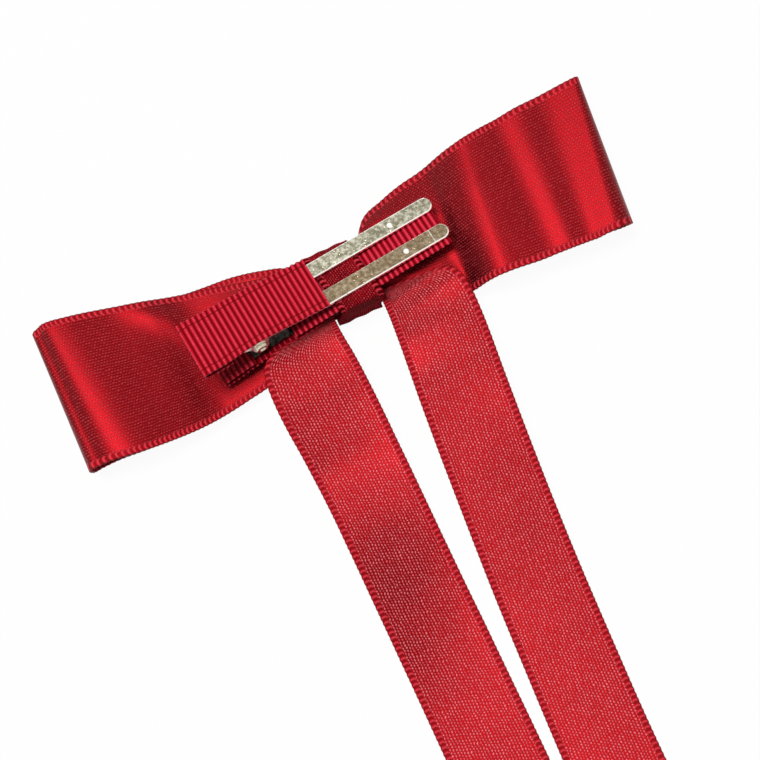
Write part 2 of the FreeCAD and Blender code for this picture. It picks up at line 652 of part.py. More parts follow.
def make_hinge_pin():
    """The pin through all four ears, its ends flared and dished."""
    body = new_body("hinge_pin", clip_seat)
    head = f"({S['metal_wide']} / 2 + {S['fit_gap']} + {S['pin_head_long']})"
    neck = f"({S['metal_wide']} / 2 + {S['fit_gap']})"
    pin, flare = S["pin_round"], S["pin_head_round"]
    half = new_sketch(body, "pin_half", "YZ_Plane")
    right = [(neck, pin), (neck, flare), (f"({head} - 0.15)", flare), (head, f"({flare} - 0.2)")]
    right += [(head, f"({flare} * 0.5)"), (f"({head} - 0.25)", f"({flare} * 0.3)"), (f"({head} - 0.25)", "0")]
    left = [(f"(-{y})", z) for y, z in reversed(right)]
    add_outline(half, left + right)
    spin = body.newObject("PartDesign::Revolution", "pin_turned")
    spin.Profile = half
    spin.ReferenceAxis = (half, ["H_Axis"])
    spin.Angle = 360
    body.Tip = spin
    doc.recompute()


def make_torsion_spring():
    """Wire coiled round the pin, one leg under the upper lever and one on the base lever."""
    radius, wire, pitch = size("coil_round"), size("wire_thick") / 2, size("coil_pitch")
    leg, gap = size("spring_leg"), size("fit_gap")
    upper = math.atan(value(lever_slope))
    # each leg leaves the coil along its tangent and ends a wire's half thickness off its lever
    flap_room = size("grosgrain_thick") + 2 * gap

    def leg_angle(line, low, high):
        """Angle at which a leg of the spring's length ends on the line."""
        for _ in range(60):
            middle = (low + high) / 2
            x = radius * math.sin(middle) - leg * math.cos(middle)
            z = radius * math.cos(middle) + leg * math.sin(middle)
            low, high = (middle, high) if z < line(x) else (low, middle)
        return low

    def under_lever(x):
        return value(lever_under(str(x))) - (wire + flap_room) / math.cos(upper)

    def over_base(x):
        return -(value(base_inner(str(x))) + (wire + flap_room) / math.cos(math.radians(size("base_droop"))))

    rise = leg_angle(under_lever, -0.2, 1.2)
    fall = leg_angle(over_base, -0.2, 1.2)
    start = math.pi / 2 - rise
    stop = -math.pi / 2 + fall - 2 * math.pi * size("coil_turns")
    turns = (start - stop) / (2 * math.pi)
    width = turns * pitch
    helix = Part.makeHelix(pitch, width, radius)
    # the helix climbs along Z from +X: lay it along Y, turning from the upper leg to the base leg
    helix.rotate(FreeCAD.Vector(), FreeCAD.Vector(1, 0, 0), -90)
    helix.rotate(FreeCAD.Vector(), FreeCAD.Vector(0, 1, 0), -math.degrees(start))
    helix.translate(FreeCAD.Vector(0, -width / 2, 0))
    # each leg goes on along the coil's own tangent
    coil = helix.Edges[0]
    ends = [coil.valueAt(coil.FirstParameter), coil.valueAt(coil.LastParameter)]
    tangents = [coil.tangentAt(coil.FirstParameter) * -1, coil.tangentAt(coil.LastParameter)]
    legs = [Part.makeCylinder(wire, leg, spot, along) for spot, along in zip(ends, tangents)]
    section = Part.Wire(Part.makeCircle(wire, ends[0], tangents[0]))
    winding = Part.Wire([coil]).makePipeShell([section], True, True)
    solid = winding.fuse(legs)
    print("spring legs end", [spot + along * leg for spot, along in zip(ends, tangents)])
    feature = doc.addObject("Part::Feature", "torsion_spring")
    feature.Label = "torsion_spring"
    feature.Shape = solid.Solids[0] if len(solid.Solids) == 1 else solid
    feature.Placement = clip_seat
    doc.recompute()


for make in (
    make_bow_loops,
    make_gather_thread,
    make_tail_ribbon,
    make_centre_band,
    make_glue_pad,
    make_base_jaw,
    make_prong_jaw,
    make_lever_cover,
    make_base_lining,
    make_base_cover,
    make_hinge_pin,
    make_torsion_spring,
):
    make()

doc.recompute()
pieces = [o for o in doc.Objects if o.isDerivedFrom("PartDesign::Body") or o.TypeId == "Part::Feature"]
for item in doc.Objects:
    if "Invalid" in item.State or "Error" in item.State:
        raise RuntimeError(f"{item.Name} failed: {item.State}")
for piece in pieces:
    if piece.Shape.isNull() or not piece.Shape.isValid() or piece.Shape.Volume <= 0:
        raise RuntimeError(f"{piece.Label} has no valid shape")

os.makedirs("parts", exist_ok=True)
for piece in pieces:
    piece.Shape.exportStep(f"parts/{piece.Label}.step")
    box = piece.Shape.BoundBox
    print(f"{piece.Label}: {len(piece.Shape.Solids)} solid, {piece.Shape.Volume:.2f} mm3,",
          f"x {box.XMin:.2f} {box.XMax:.2f}, y {box.YMin:.2f} {box.YMax:.2f}, z {box.ZMin:.2f} {box.ZMax:.2f}")
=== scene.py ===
import json
import math
import bpy
import numpy as np
from mathutils import Matrix, Vector


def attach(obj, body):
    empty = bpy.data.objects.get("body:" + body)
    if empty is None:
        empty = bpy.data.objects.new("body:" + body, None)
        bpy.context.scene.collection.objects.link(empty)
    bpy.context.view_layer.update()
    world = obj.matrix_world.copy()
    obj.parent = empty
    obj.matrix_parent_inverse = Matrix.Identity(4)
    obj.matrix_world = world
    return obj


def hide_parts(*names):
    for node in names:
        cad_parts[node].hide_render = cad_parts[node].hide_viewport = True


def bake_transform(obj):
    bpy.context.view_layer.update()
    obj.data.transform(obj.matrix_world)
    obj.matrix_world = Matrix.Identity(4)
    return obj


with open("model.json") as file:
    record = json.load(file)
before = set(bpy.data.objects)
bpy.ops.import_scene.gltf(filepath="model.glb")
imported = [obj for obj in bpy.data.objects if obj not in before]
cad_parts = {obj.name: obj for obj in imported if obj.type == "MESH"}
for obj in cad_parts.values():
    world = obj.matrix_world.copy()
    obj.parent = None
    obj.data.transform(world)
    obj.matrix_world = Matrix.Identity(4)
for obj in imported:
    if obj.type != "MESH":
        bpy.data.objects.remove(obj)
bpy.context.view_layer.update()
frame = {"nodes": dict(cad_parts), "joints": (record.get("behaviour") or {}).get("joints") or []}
mm = 0.001

sheetRules = {
    "fineSteps": 6000,  # samples on a line before it is shared out evenly
    "mostHem": 0.3,  # of the width, where a ribbon is narrow
    "scallopDeep": 0.5,  # how far in from an edge its waves reach, in mm
}


def softStep(a, b, x):
    # 0 at a, 1 at b, 3u^2 - 2u^3 between; it falls along x where a is the larger
    u = np.clip((x - a) / (b - a), 0, 1)
    return u * u * (3 - 2 * u)


def bump(x, middle, half):
    # a bell exp(-(x - middle)^2 / half^2)
    return np.exp(-(((x - middle) / half) ** 2))


def runLength(line):
    # the distance gone at each row of a line: the running sum of its steps, from 0
    return np.concatenate([[0], np.cumsum(np.linalg.norm(np.diff(line, axis=0), axis=1))])


def unitRows(rows):
    # each row divided by its own length
    return rows / np.linalg.norm(rows, axis=1, keepdims=True)


def throughPoints(stations, count, axes, closed=False):
    # smooth line through given rows: Hermite cubics whose slope at a row is the chord-weighted mean of
    # the slopes beside it, then resampled to even steps along the given axes
    rows = np.asarray(stations, float)
    if closed:
        rows = np.vstack([rows[-2:], rows, rows[:3]])
    knots = runLength(rows[:, axes])
    step = np.diff(knots)[:, None]
    chord = np.diff(rows, axis=0) / step
    inner = (chord[:-1] * step[1:] + chord[1:] * step[:-1]) / (step[1:] + step[:-1])
    slope = np.vstack([chord[:1], inner, chord[-1:]])
    first, last = (knots[2], knots[-3]) if closed else (knots[0], knots[-1])
    at = np.linspace(first, last, sheetRules["fineSteps"])
    cell = np.clip(np.searchsorted(knots, at, side="right") - 1, 0, len(knots) - 2)
    wide = (knots[cell + 1] - knots[cell])[:, None]
    u = (at[:, None] - knots[cell][:, None]) / wide
    fine = (
        (2 * u**3 - 3 * u**2 + 1) * rows[cell] + (u**3 - 2 * u**2 + u) * wide * slope[cell]
        + (3 * u**2 - 2 * u**3) * rows[cell + 1] + (u**3 - u**2) * wide * slope[cell + 1]
    )
    gone = runLength(fine[:, axes])
    even = np.linspace(0, gone[-1], count + 1 if closed else count)
    line = np.stack([np.interp(even, gone, fine[:, k]) for k in range(fine.shape[1])], 1)
    return (line[:-1] if closed else line), even


def acrossRibbon(wide, p):
    # positions across a ribbon: the selvages keep their true width, and the cloth between is shared out
    # evenly; gives the real distance from the first edge and the flat distance on the uncut ribbon
    flat, selvage = p["flat"], p["selvage"]
    edge = np.linspace(0, selvage, p["edgeColumns"])
    share = np.linspace(0, 1, p["innerColumns"] + 2)[1:-1]
    wide = np.asarray(wide, float)[:, None]
    hem = np.minimum(selvage, wide * sheetRules["mostHem"]) / selvage
    inner = selvage * hem + share * (wide - 2 * selvage * hem)
    real = np.hstack([edge * hem, inner, wide - edge[::-1] * hem])
    cut = np.concatenate([edge, selvage + share * (flat - 2 * selvage), flat - edge[::-1]])
    return real, cut


def edgeSides(real, wide):
    # -1 on the first edge and 1 on the other, fading to 0 inwards
    deep = sheetRules["scallopDeep"]
    return softStep(deep, 0, wide - real) - softStep(deep, 0, real)


def sheetMesh(name, points, cut, along, closed=False, flip=False):
    # a grid of points (row, column) in mm becomes quads; UV "ribbon" holds (across, along) in mm
    rows, cols = points.shape[:2]
    r = np.arange(rows if closed else rows - 1)[:, None]
    c = np.arange(cols - 1)[None, :]
    following = (r + 1) % rows
    corner = [r * cols + c, following * cols + c, following * cols + c + 1, r * cols + c + 1]
    acrossUv = [c, c, c + 1, c + 1]
    alongUv = [r, r + 1, r + 1, r]
    if flip:
        corner, acrossUv, alongUv = corner[::-1], acrossUv[::-1], alongUv[::-1]
    quads = np.stack(corner, -1).reshape(-1, 4)
    cells = (r.size, c.size)
    u = np.stack([np.broadcast_to(cut[k], cells) for k in acrossUv], -1)
    v = np.stack([np.broadcast_to(along[k], cells) for k in alongUv], -1)
    mesh = bpy.data.meshes.new(name)
    mesh.from_pydata(points.reshape(-1, 3) * mm, [], quads)
    layer = mesh.uv_layers.new(name="ribbon")
    layer.data.foreach_set("uv", np.stack([u, v], -1).reshape(-1).astype(np.float32))
    mesh.polygons.foreach_set("use_smooth", np.full(len(quads), True))
    mesh.update()
    piece = bpy.data.objects.new(name, mesh)
    bpy.context.scene.collection.objects.link(piece)
    return piece


def giveThickness(piece, thick):
    # half of the wall stands on each side of the sheet
    wall = piece.modifiers.new("cloth", "SOLIDIFY")
    wall.thickness = thick * mm
    wall.offset = 0
    wall.use_even_offset = False


def tubeMesh(name, line, radius, sides=10, across=(1.0, 0.07, 0.03)):
    # a round tube on an open line: ring points line + radius (cos a * side + sin a * up), where side is at
    # right angles to the line and to the given direction; both ends are drawn in to a point
    ahead = unitRows(np.gradient(line, axis=0))
    side = unitRows(np.cross(ahead, across))
    up = np.cross(side, ahead)
    turn = np.linspace(0, 2 * np.pi, sides + 1)[None, :, None]
    ring = line[:, None] + radius * (np.cos(turn) * side[:, None] + np.sin(turn) * up[:, None])
    tips = [np.repeat(line[end, None, None], sides + 1, 1) for end in (0, -1)]
    ring = np.concatenate([tips[0], ring, tips[1]])
    gone = runLength(line)
    gone = np.concatenate([[-radius], gone, [gone[-1] + radius]])
    return sheetMesh(name, ring, turn[0, :, 0] * radius, gone, flip=True)


def setInputs(tree, made, inputs):
    # a value that comes from a node is linked, and any other is set
    for key, value in inputs.items():
        if isinstance(value, bpy.types.NodeSocket):
            tree.links.new(value, made.inputs[key])
        else:
            made.inputs[key].default_value = value


def addNode(tree, kind, inputs=None, **settings):
    made = tree.nodes.new(kind)
    for key, value in settings.items():
        setattr(made, key, value)
    setInputs(tree, made, inputs or {})
    return made


def sums(tree, operation, *values):
    # one maths node on the given values
    return addNode(tree, "ShaderNodeMath", dict(enumerate(values)), operation=operation).outputs[0]


def between(tree, value, low, high, toLow=0.0, toHigh=1.0):
    # a soft step of a value from low to high
    limits = {"Value": value, "From Min": low, "From Max": high, "To Min": toLow, "To Max": toHigh}
    return addNode(tree, "ShaderNodeMapRange", limits, interpolation_type="SMOOTHSTEP").outputs["Result"]


def blendColour(tree, share, first, second):
    # the first colour, passing to the second as the share goes from 0 to 1
    return addNode(tree, "ShaderNodeMix", {0: share, 6: first, 7: second}, data_type="RGBA").outputs[2]


def noise(tree, vector, scale, detail, **more):
    made = addNode(tree, "ShaderNodeTexNoise", {"Vector": vector, "Scale": scale, "Detail": detail, **more})
    return made.outputs["Fac"]


def relief(tree, height, strength, deep):
    # a bumped normal; deep is in metres
    made = addNode(tree, "ShaderNodeBump", {"Height": height, "Strength": strength, "Distance": deep})
    return made.outputs[0]


def halfWave(tree, beat):
    # (cos(beat) + 1) / 2
    return sums(tree, "ADD", sums(tree, "MULTIPLY", sums(tree, "COSINE", beat), 0.5), 0.5)


def sumOfSquares(tree, a, b):
    return sums(tree, "ADD", sums(tree, "POWER", a, 2.0), sums(tree, "POWER", b, 2.0))


def cellOf(tree, value):
    # the whole number below a value, and how far the value is from the middle of that cell
    whole = sums(tree, "FLOOR", value)
    return whole, sums(tree, "SUBTRACT", sums(tree, "SUBTRACT", value, whole), 0.5)


def splitVector(tree, vector):
    made = addNode(tree, "ShaderNodeSeparateXYZ", {0: vector})
    return made.outputs["X"], made.outputs["Y"]


def newGroup(name, values, outputs):
    # a node group that takes a vector and named values, and puts out named values
    group = bpy.data.node_groups.new(name, "ShaderNodeTree")
    group.interface.new_socket(name="Vector", in_out="INPUT", socket_type="NodeSocketVector")
    for label, value in values.items():
        made = group.interface.new_socket(name=label, in_out="INPUT", socket_type="NodeSocketFloat")
        made.default_value = value
    for label in outputs:
        group.interface.new_socket(name=label, in_out="OUTPUT", socket_type="NodeSocketFloat")
    return group, group.nodes.new("NodeGroupInput").outputs, group.nodes.new("NodeGroupOutput")


satinThreads = {
    "wander": 0.5, "wanderScale": 0.9,  # how far the rows stray in mm, and how quickly
    "rowShift": 0.4, "speckAcross": 0.30, "speckAlong": 0.46,  # in steps of the weave
    "speckRim": 1.0, "speckCore": 0.15, "faintest": 0.35, "brightFrom": 0.9,
    "hemSoft": 0.06, "lean": 0.16, "leanWave": 2.6, "rungPower": 2.2, "rungHigh": 2.0,
    "rimFrom": 0.02, "rimTo": 0.3, "rimShare": 0.35,  # the rungs fade towards the very edge
    "knotHalf": 0.22, "knotCore": 0.05, "knotLag": 0.9, "knotPower": 2.0, "cloudScale": 0.16,
}


def buildSatinWeave(p):
    # cloth: a lattice of oval specks, (a / across)^2 + (b / along)^2 < 1, each row shifted by a share of a
    # step; selvage: a ladder of cross threads within the hem's width, and a knot where each meets the hem
    group, given, put = newGroup(
        "satinWeave", {"Width": 15.0, "Step": 0.5, "Hem": 1.0, "Ladder": 0.9},
        ["Speck", "Rung", "Selvage", "Height", "Cloud"])
    t = group
    u, v = splitVector(t, given["Vector"])
    step, hem = given["Step"], given["Hem"]
    stray = sums(t, "SUBTRACT", noise(t, given["Vector"], p["wanderScale"], 2.0), 0.5)
    drift = sums(t, "MULTIPLY", stray, p["wander"])
    row, a = cellOf(t, sums(t, "DIVIDE", sums(t, "ADD", u, drift), step))
    gone = sums(t, "DIVIDE", sums(t, "ADD", v, drift), step)
    col, b = cellOf(t, sums(t, "ADD", gone, sums(t, "MULTIPLY", row, p["rowShift"])))
    far = sumOfSquares(t, sums(t, "DIVIDE", a, p["speckAcross"]), sums(t, "DIVIDE", b, p["speckAlong"]))
    cell = addNode(t, "ShaderNodeCombineXYZ", {"X": row, "Y": col})
    luck = addNode(t, "ShaderNodeTexWhiteNoise", {"Vector": cell.outputs[0]}, noise_dimensions="2D")
    bright = between(t, luck.outputs["Value"], 0.0, p["brightFrom"], p["faintest"], 1.0)
    speck = sums(t, "MULTIPLY", between(t, far, p["speckRim"], p["speckCore"]), bright)
    edge = sums(t, "MINIMUM", u, sums(t, "SUBTRACT", given["Width"], u))
    inside = between(t, edge, sums(t, "ADD", hem, p["hemSoft"]), sums(t, "SUBTRACT", hem, p["hemSoft"]))
    lean = sums(t, "MULTIPLY", sums(t, "SINE", sums(t, "MULTIPLY", edge, p["leanWave"])), p["lean"])
    beat = sums(t, "MULTIPLY", sums(t, "ADD", sums(t, "DIVIDE", v, given["Ladder"]), lean), 2 * math.pi)
    fromHem = sums(t, "ABSOLUTE", sums(t, "SUBTRACT", edge, hem))
    lagging = sums(t, "POWER", halfWave(t, sums(t, "SUBTRACT", beat, p["knotLag"])), p["knotPower"])
    knot = sums(t, "MULTIPLY", between(t, fromHem, p["knotHalf"], p["knotCore"]), lagging)
    rung = sums(t, "POWER", halfWave(t, beat), p["rungPower"])
    rung = sums(t, "MULTIPLY", rung, between(t, edge, p["rimFrom"], p["rimTo"], p["rimShare"], 1.0))
    rung = sums(t, "MAXIMUM", rung, knot)
    ladder = sums(t, "MAXIMUM", inside, knot)
    speckHeight = sums(t, "MULTIPLY", speck, sums(t, "SUBTRACT", 1.0, ladder))
    rungHeight = sums(t, "MULTIPLY", sums(t, "MULTIPLY", rung, ladder), p["rungHigh"])
    setInputs(t, put, {
        "Speck": speck, "Rung": rung, "Selvage": ladder, "Height": sums(t, "ADD", speckHeight, rungHeight),
        "Cloud": noise(t, given["Vector"], p["cloudScale"], 3.0),
    })
    return group


ribThreads = {
    "lineAt": 1.05, "lineHalf": 0.17, "lineCore": 0.05,  # the thin line beside each selvage, in mm
    "stretch": (7.0, 1.1, 1.0), "closeWave": 22.0, "closeShare": 0.25,
}


def buildRibWeave(p):
    # ribs lie across the strip, (cos(2 pi along / pitch) + 1) / 2; a thin line cuts off a block at each
    # selvage, and close cross threads run over each rib
    group, given, put = newGroup("ribWeave", {"Width": 9.2, "Pitch": 0.97}, ["Top", "Line", "Thread"])
    t = group
    u, v = splitVector(t, given["Vector"])
    beat = sums(t, "MULTIPLY", sums(t, "DIVIDE", v, given["Pitch"]), 2 * math.pi)
    edge = sums(t, "MINIMUM", u, sums(t, "SUBTRACT", given["Width"], u))
    fromLine = sums(t, "ABSOLUTE", sums(t, "SUBTRACT", edge, p["lineAt"]))
    stretched = addNode(t, "ShaderNodeMapping", {"Vector": given["Vector"], "Scale": p["stretch"]})
    close = sums(t, "SINE", sums(t, "MULTIPLY", u, p["closeWave"]))
    close = sums(t, "MULTIPLY", close, p["closeShare"])
    setInputs(t, put, {
        "Top": halfWave(t, beat), "Line": between(t, fromLine, p["lineHalf"], p["lineCore"]),
        "Thread": sums(t, "ADD", noise(t, stretched.outputs[0], 1.0, 2.0), close),
    })
    return group


clip = {
    "yaw": 6.9, "roll": -7.5, "steel": 0.7, "cloth": 0.24, "gap": 0.05, "stripHalf": 0.225,
    "flat": 9.4, "selvage": 1.25, "edgeColumns": 7, "innerColumns": 22,
    "pitch": 0.97, "ribHigh": 0.1, "ribRound": 0.6, "ribPower": 0.5,
    "lineAt": 1.05, "lineHalf": 0.13, "lineDeep": 0.05, "lineFlat": 0.6,
    "edgeFrom": -0.15, "edgeTo": 0.3, "notch": 0.06,
    "flareFrom": 2.0, "flareTo": -9.0, "flareFade": 0.7,
}
pinMiddle = np.array(frame["joints"][0]["pos_m"]) / mm
yaw, roll = math.radians(clip["yaw"]), math.radians(clip["roll"])
yawTurn = np.array([[math.cos(yaw), -math.sin(yaw), 0], [math.sin(yaw), math.cos(yaw), 0], [0, 0, 1]])
rollTurn = np.array([[1, 0, 0], [0, math.cos(roll), -math.sin(roll)], [0, math.sin(roll), math.cos(roll)]])
clipTurn = yawTurn @ rollTurn

platingWear = {
    "cloudScale": 1500.0, "cloudRough": 0.65, "pitScale": 1500.0, "pitHalf": 0.32, "pitCore": 0.12,
    "spareScale": 900.0, "spareFrom": 0.5, "spareTo": 0.62,
    "scratchScale": (120.0, 4200.0, 900.0), "scratchHigh": 0.35,
}


def buildMetalWear(p):
    # cloudy plating, small pits in some places, and fine rolling scratches along the clip
    group, given, put = newGroup("metalWear", {"Size": 1.0}, ["Cloud", "Pit", "Height"])
    t = group
    grown = addNode(t, "ShaderNodeVectorMath", {0: given["Vector"], 3: given["Size"]}, operation="SCALE")
    place = grown.outputs[0]
    dots = addNode(t, "ShaderNodeTexVoronoi", {"Vector": place, "Scale": p["pitScale"]})
    spare = between(t, noise(t, place, p["spareScale"], 1.0), p["spareFrom"], p["spareTo"])
    pit = sums(t, "MULTIPLY", between(t, dots.outputs["Distance"], p["pitHalf"], p["pitCore"]), spare)
    drawn = addNode(t, "ShaderNodeMapping", {
        "Vector": place, "Rotation": (0, 0, -yaw), "Scale": p["scratchScale"]})
    scratch = sums(t, "MULTIPLY", noise(t, drawn.outputs[0], 1.0, 2.0), p["scratchHigh"])
    setInputs(t, put, {
        "Cloud": noise(t, place, p["cloudScale"], 5.0, Roughness=p["cloudRough"]), "Pit": pit,
        "Height": sums(t, "SUBTRACT", scratch, pit),
    })
    return group


satinWeave = buildSatinWeave(satinThreads)
ribWeave = buildRibWeave(ribThreads)
metalWear = buildMetalWear(platingWear)
print("weaves and metal wear built")


def newMaterial(name):
    material = bpy.data.materials.new(name)
    material.use_nodes = True
    tree = material.node_tree
    return material, tree, tree.nodes["Principled BSDF"]


def placeGroup(tree, group, vector, **values):
    made = addNode(tree, "ShaderNodeGroup", node_tree=group)
    setInputs(tree, made, {"Vector": vector, **values})
    return made.outputs


def ribbonPlace(tree):
    # across and along the ribbon, in mm
    return addNode(tree, "ShaderNodeUVMap", uv_map="ribbon").outputs[0]


def objectPlace(tree):
    # the place on the piece, in metres
    return addNode(tree, "ShaderNodeTexCoord").outputs["Object"]


def satinMaterial(name, look):
    # cloudy ground with specks painted pale, a painted sheen on the floats; the ladder's rungs, painted pale
    # as a painted highlight, take over at the selvages
    material, tree, shader = newMaterial(name)
    weave = placeGroup(tree, satinWeave, ribbonPlace(tree), Width=look["wide"], Step=look["step"])
    cloudy = between(tree, weave["Cloud"], look["cloudFrom"], look["cloudTo"])
    ground = blendColour(tree, cloudy, look["deep"], look["red"])
    sheenSpecks = sums(tree, "MULTIPLY", weave["Speck"], look["speckSheenShare"])
    cloth = blendColour(tree, sheenSpecks, ground, look["pale"])
    ladder = blendColour(tree, weave["Rung"], look["ladderDark"], look["ladderHighlight"])
    setInputs(tree, shader, {
        "Base Color": blendColour(tree, weave["Selvage"], cloth, ladder),
        "Roughness": between(tree, weave["Selvage"], 0.0, 1.0, look["rough"], look["hemRough"]),
        "Normal": relief(tree, weave["Height"], look["relief"], look["reliefDeep"]),
        "Specular IOR Level": look["shine"], "Specular Tint": look["shineTint"], "IOR": look["bend"],
    })
    return material


def grosgrainMaterial(name, look):
    # grooves and the selvage line painted dark as painted shade, red sides, and crowns painted pale as a
    # painted highlight where the cross threads stand out
    material, tree, shader = newMaterial(name)
    weave = placeGroup(tree, ribWeave, ribbonPlace(tree), Width=look["wide"], Pitch=look["pitch"])
    side = between(tree, weave["Top"], look["sideFrom"], look["crownFrom"])
    rib = blendColour(tree, side, look["grooveShade"], look["red"])
    threads = between(tree, weave["Thread"], look["threadFrom"], look["threadTo"], look["faintest"], 1.0)
    crown = sums(tree, "MULTIPLY", between(tree, weave["Top"], look["crownFrom"], 1.0), threads)
    crownHighlighted = blendColour(tree, crown, rib, look["pale"])
    line = sums(tree, "MULTIPLY", weave["Line"], look["lineShare"])
    raised = sums(tree, "MULTIPLY", weave["Thread"], look["threadHigh"])
    height = sums(tree, "SUBTRACT", raised, weave["Line"])
    setInputs(tree, shader, {
        "Base Color": blendColour(tree, line, crownHighlighted, look["grooveShade"]), "Roughness": look["rough"],
        "Normal": relief(tree, height, look["relief"], look["reliefDeep"]),
        "Specular IOR Level": look["shine"], "Specular Tint": look["shineTint"],
    })
    return material


def prongDetail(tree, vector, ground, look):
    # in the clip's frame, a prong is a round-ended bar: depth inside it is half width - sqrt(past^2 +
    # side^2), with past = max(x - end, 0) and side = |y| - middle; its rim and dimple are painted near white,
    # a painted highlight for their glints, the outer prong is painted brown as a painted reflection, and it
    # has a pale line across it
    p = look["prongs"]
    moved = addNode(tree, "ShaderNodeVectorMath", {0: vector, 1: tuple(pinMiddle * mm)}, operation="SUBTRACT")
    yawed = addNode(tree, "ShaderNodeMapping", {"Vector": moved.outputs[0], "Rotation": (0, 0, -yaw)})
    level = addNode(tree, "ShaderNodeMapping", {"Vector": yawed.outputs[0], "Rotation": (-roll, 0, 0)})
    grown = addNode(tree, "ShaderNodeVectorMath", {0: level.outputs[0], 3: 1 / mm}, operation="SCALE")
    x, y = splitVector(tree, grown.outputs[0])
    side = sums(tree, "SUBTRACT", sums(tree, "ABSOLUTE", y), p["middle"])
    past = sums(tree, "MAXIMUM", sums(tree, "SUBTRACT", x, p["reach"] - p["half"]), 0.0)
    depth = sums(tree, "SUBTRACT", p["half"], sums(tree, "SQRT", sumOfSquares(tree, past, side)))
    rim = between(tree, depth, p["rim"], p["rimCore"])
    toDimple = sumOfSquares(tree, sums(tree, "SUBTRACT", x, p["dimpleAt"]), side)
    dimple = between(tree, sums(tree, "SQRT", toDimple), p["dimpleHalf"], p["dimpleCore"])
    outer = between(tree, y, p["divide"], -p["divide"])
    reflectionMask = sums(tree, "MULTIPLY", outer, look["reflectionShare"])
    fromLine = sums(tree, "ABSOLUTE", sums(tree, "SUBTRACT", x, p["lineAt"]))
    line = sums(tree, "MULTIPLY", between(tree, fromLine, p["lineHalf"], p["lineCore"]), outer)
    line = sums(tree, "MULTIPLY", line, p["lineShare"])
    lined = blendColour(tree, line, blendColour(tree, reflectionMask, ground, look["brown"]), look["bareAndGlint"])
    return blendColour(tree, sums(tree, "MAXIMUM", rim, dimple), lined, look["bareAndGlint"])


def steelMaterial(name, look):
    # plating that clouds between two tones, dark in its pits, with the prongs' painted highlights, painted
    # reflection and cross line where asked
    material, tree, shader = newMaterial(name)
    place = objectPlace(tree)
    wear = placeGroup(tree, metalWear, place, Size=look["size"])
    cloudy = between(tree, wear["Cloud"], look["cloudFrom"], look["cloudTo"])
    ground = blendColour(tree, cloudy, look["dull"], look["bright"])
    if "prongs" in look:
        ground = prongDetail(tree, place, ground, look)
    pitted = sums(tree, "MULTIPLY", wear["Pit"], look["pitShare"])
    low, high = look["rough"] - look["smoother"], look["rough"] + look["rougher"]
    setInputs(tree, shader, {
        "Base Color": blendColour(tree, pitted, ground, look["pit"]), "Metallic": 1.0,
        "Roughness": between(tree, wear["Cloud"], look["roughFrom"], look["roughTo"], low, high),
        "Normal": relief(tree, wear["Height"], look["relief"], look["reliefDeep"]),
    })
    return material


def threadMaterial(look):
    # two tones that wind round the thread, sin(wave (along + around))
    material, tree, shader = newMaterial("redThread")
    around, along = splitVector(tree, ribbonPlace(tree))
    twist = sums(tree, "SINE", sums(tree, "MULTIPLY", sums(tree, "ADD", along, around), look["wave"]))
    setInputs(tree, shader, {
        "Base Color": blendColour(tree, between(tree, twist, -1.0, 1.0), look["deep"], look["pale"]),
        "Normal": relief(tree, twist, look["relief"], look["reliefDeep"]), "Roughness": look["rough"],
    })
    return material


def glueMaterial(look):
    # milky glue that clouds between two tones
    material, tree, shader = newMaterial("clearGlue")
    cloud = noise(tree, objectPlace(tree), look["cloudScale"], 3.0)
    cloudy = between(tree, cloud, look["cloudFrom"], look["cloudTo"])
    setInputs(tree, shader, {
        "Base Color": blendColour(tree, cloudy, look["deep"], look["pale"]),
        "Normal": relief(tree, cloud, look["relief"], look["reliefDeep"]), "Roughness": look["rough"],
        "Subsurface Weight": look["milky"], "Subsurface Radius": look["milkyReach"],
    })
    return material


# the pale colour paints the sheen on the weave's specks, and the ladder's pale colour paints highlights on
# the selvage rungs
satinLook = {
    "wide": 26.4, "step": 0.5, "deep": (0.03, 0.0002, 0.0008, 1), "red": (0.05, 0.0004, 0.0014, 1),
    "pale": (0.72, 0.095, 0.115, 1), "speckSheenShare": 0.36, "cloudFrom": 0.35, "cloudTo": 0.65,
    "ladderDark": (0.07, 0.0003, 0.001, 1), "ladderHighlight": (0.62, 0.04, 0.06, 1),
    "rough": 0.38, "hemRough": 0.58, "relief": 0.65, "reliefDeep": 0.00006,
    "shine": 1.0, "bend": 1.66, "shineTint": (1.0, 0.022, 0.034, 1),
}
loopSatin = satinMaterial("loopSatin", satinLook)
tailSatin = satinMaterial("tailSatin", {
    **satinLook, "wide": 15.0, "deep": (0.07, 0.0004, 0.0012, 1), "red": (0.11, 0.0008, 0.002, 1),
    "pale": (0.85, 0.25, 0.28, 1), "speckSheenShare": 0.8, "relief": 0.8, "shineTint": (1.0, 0.02, 0.03, 1),
})
bandSatin = satinMaterial("bandSatin", {
    **satinLook, "wide": 10.0, "deep": (0.12, 0.0008, 0.003, 1), "red": (0.20, 0.0015, 0.005, 1),
    "speckSheenShare": 0.5, "shine": 0.02, "bend": 1.45, "rough": 0.75, "hemRough": 0.95,
})
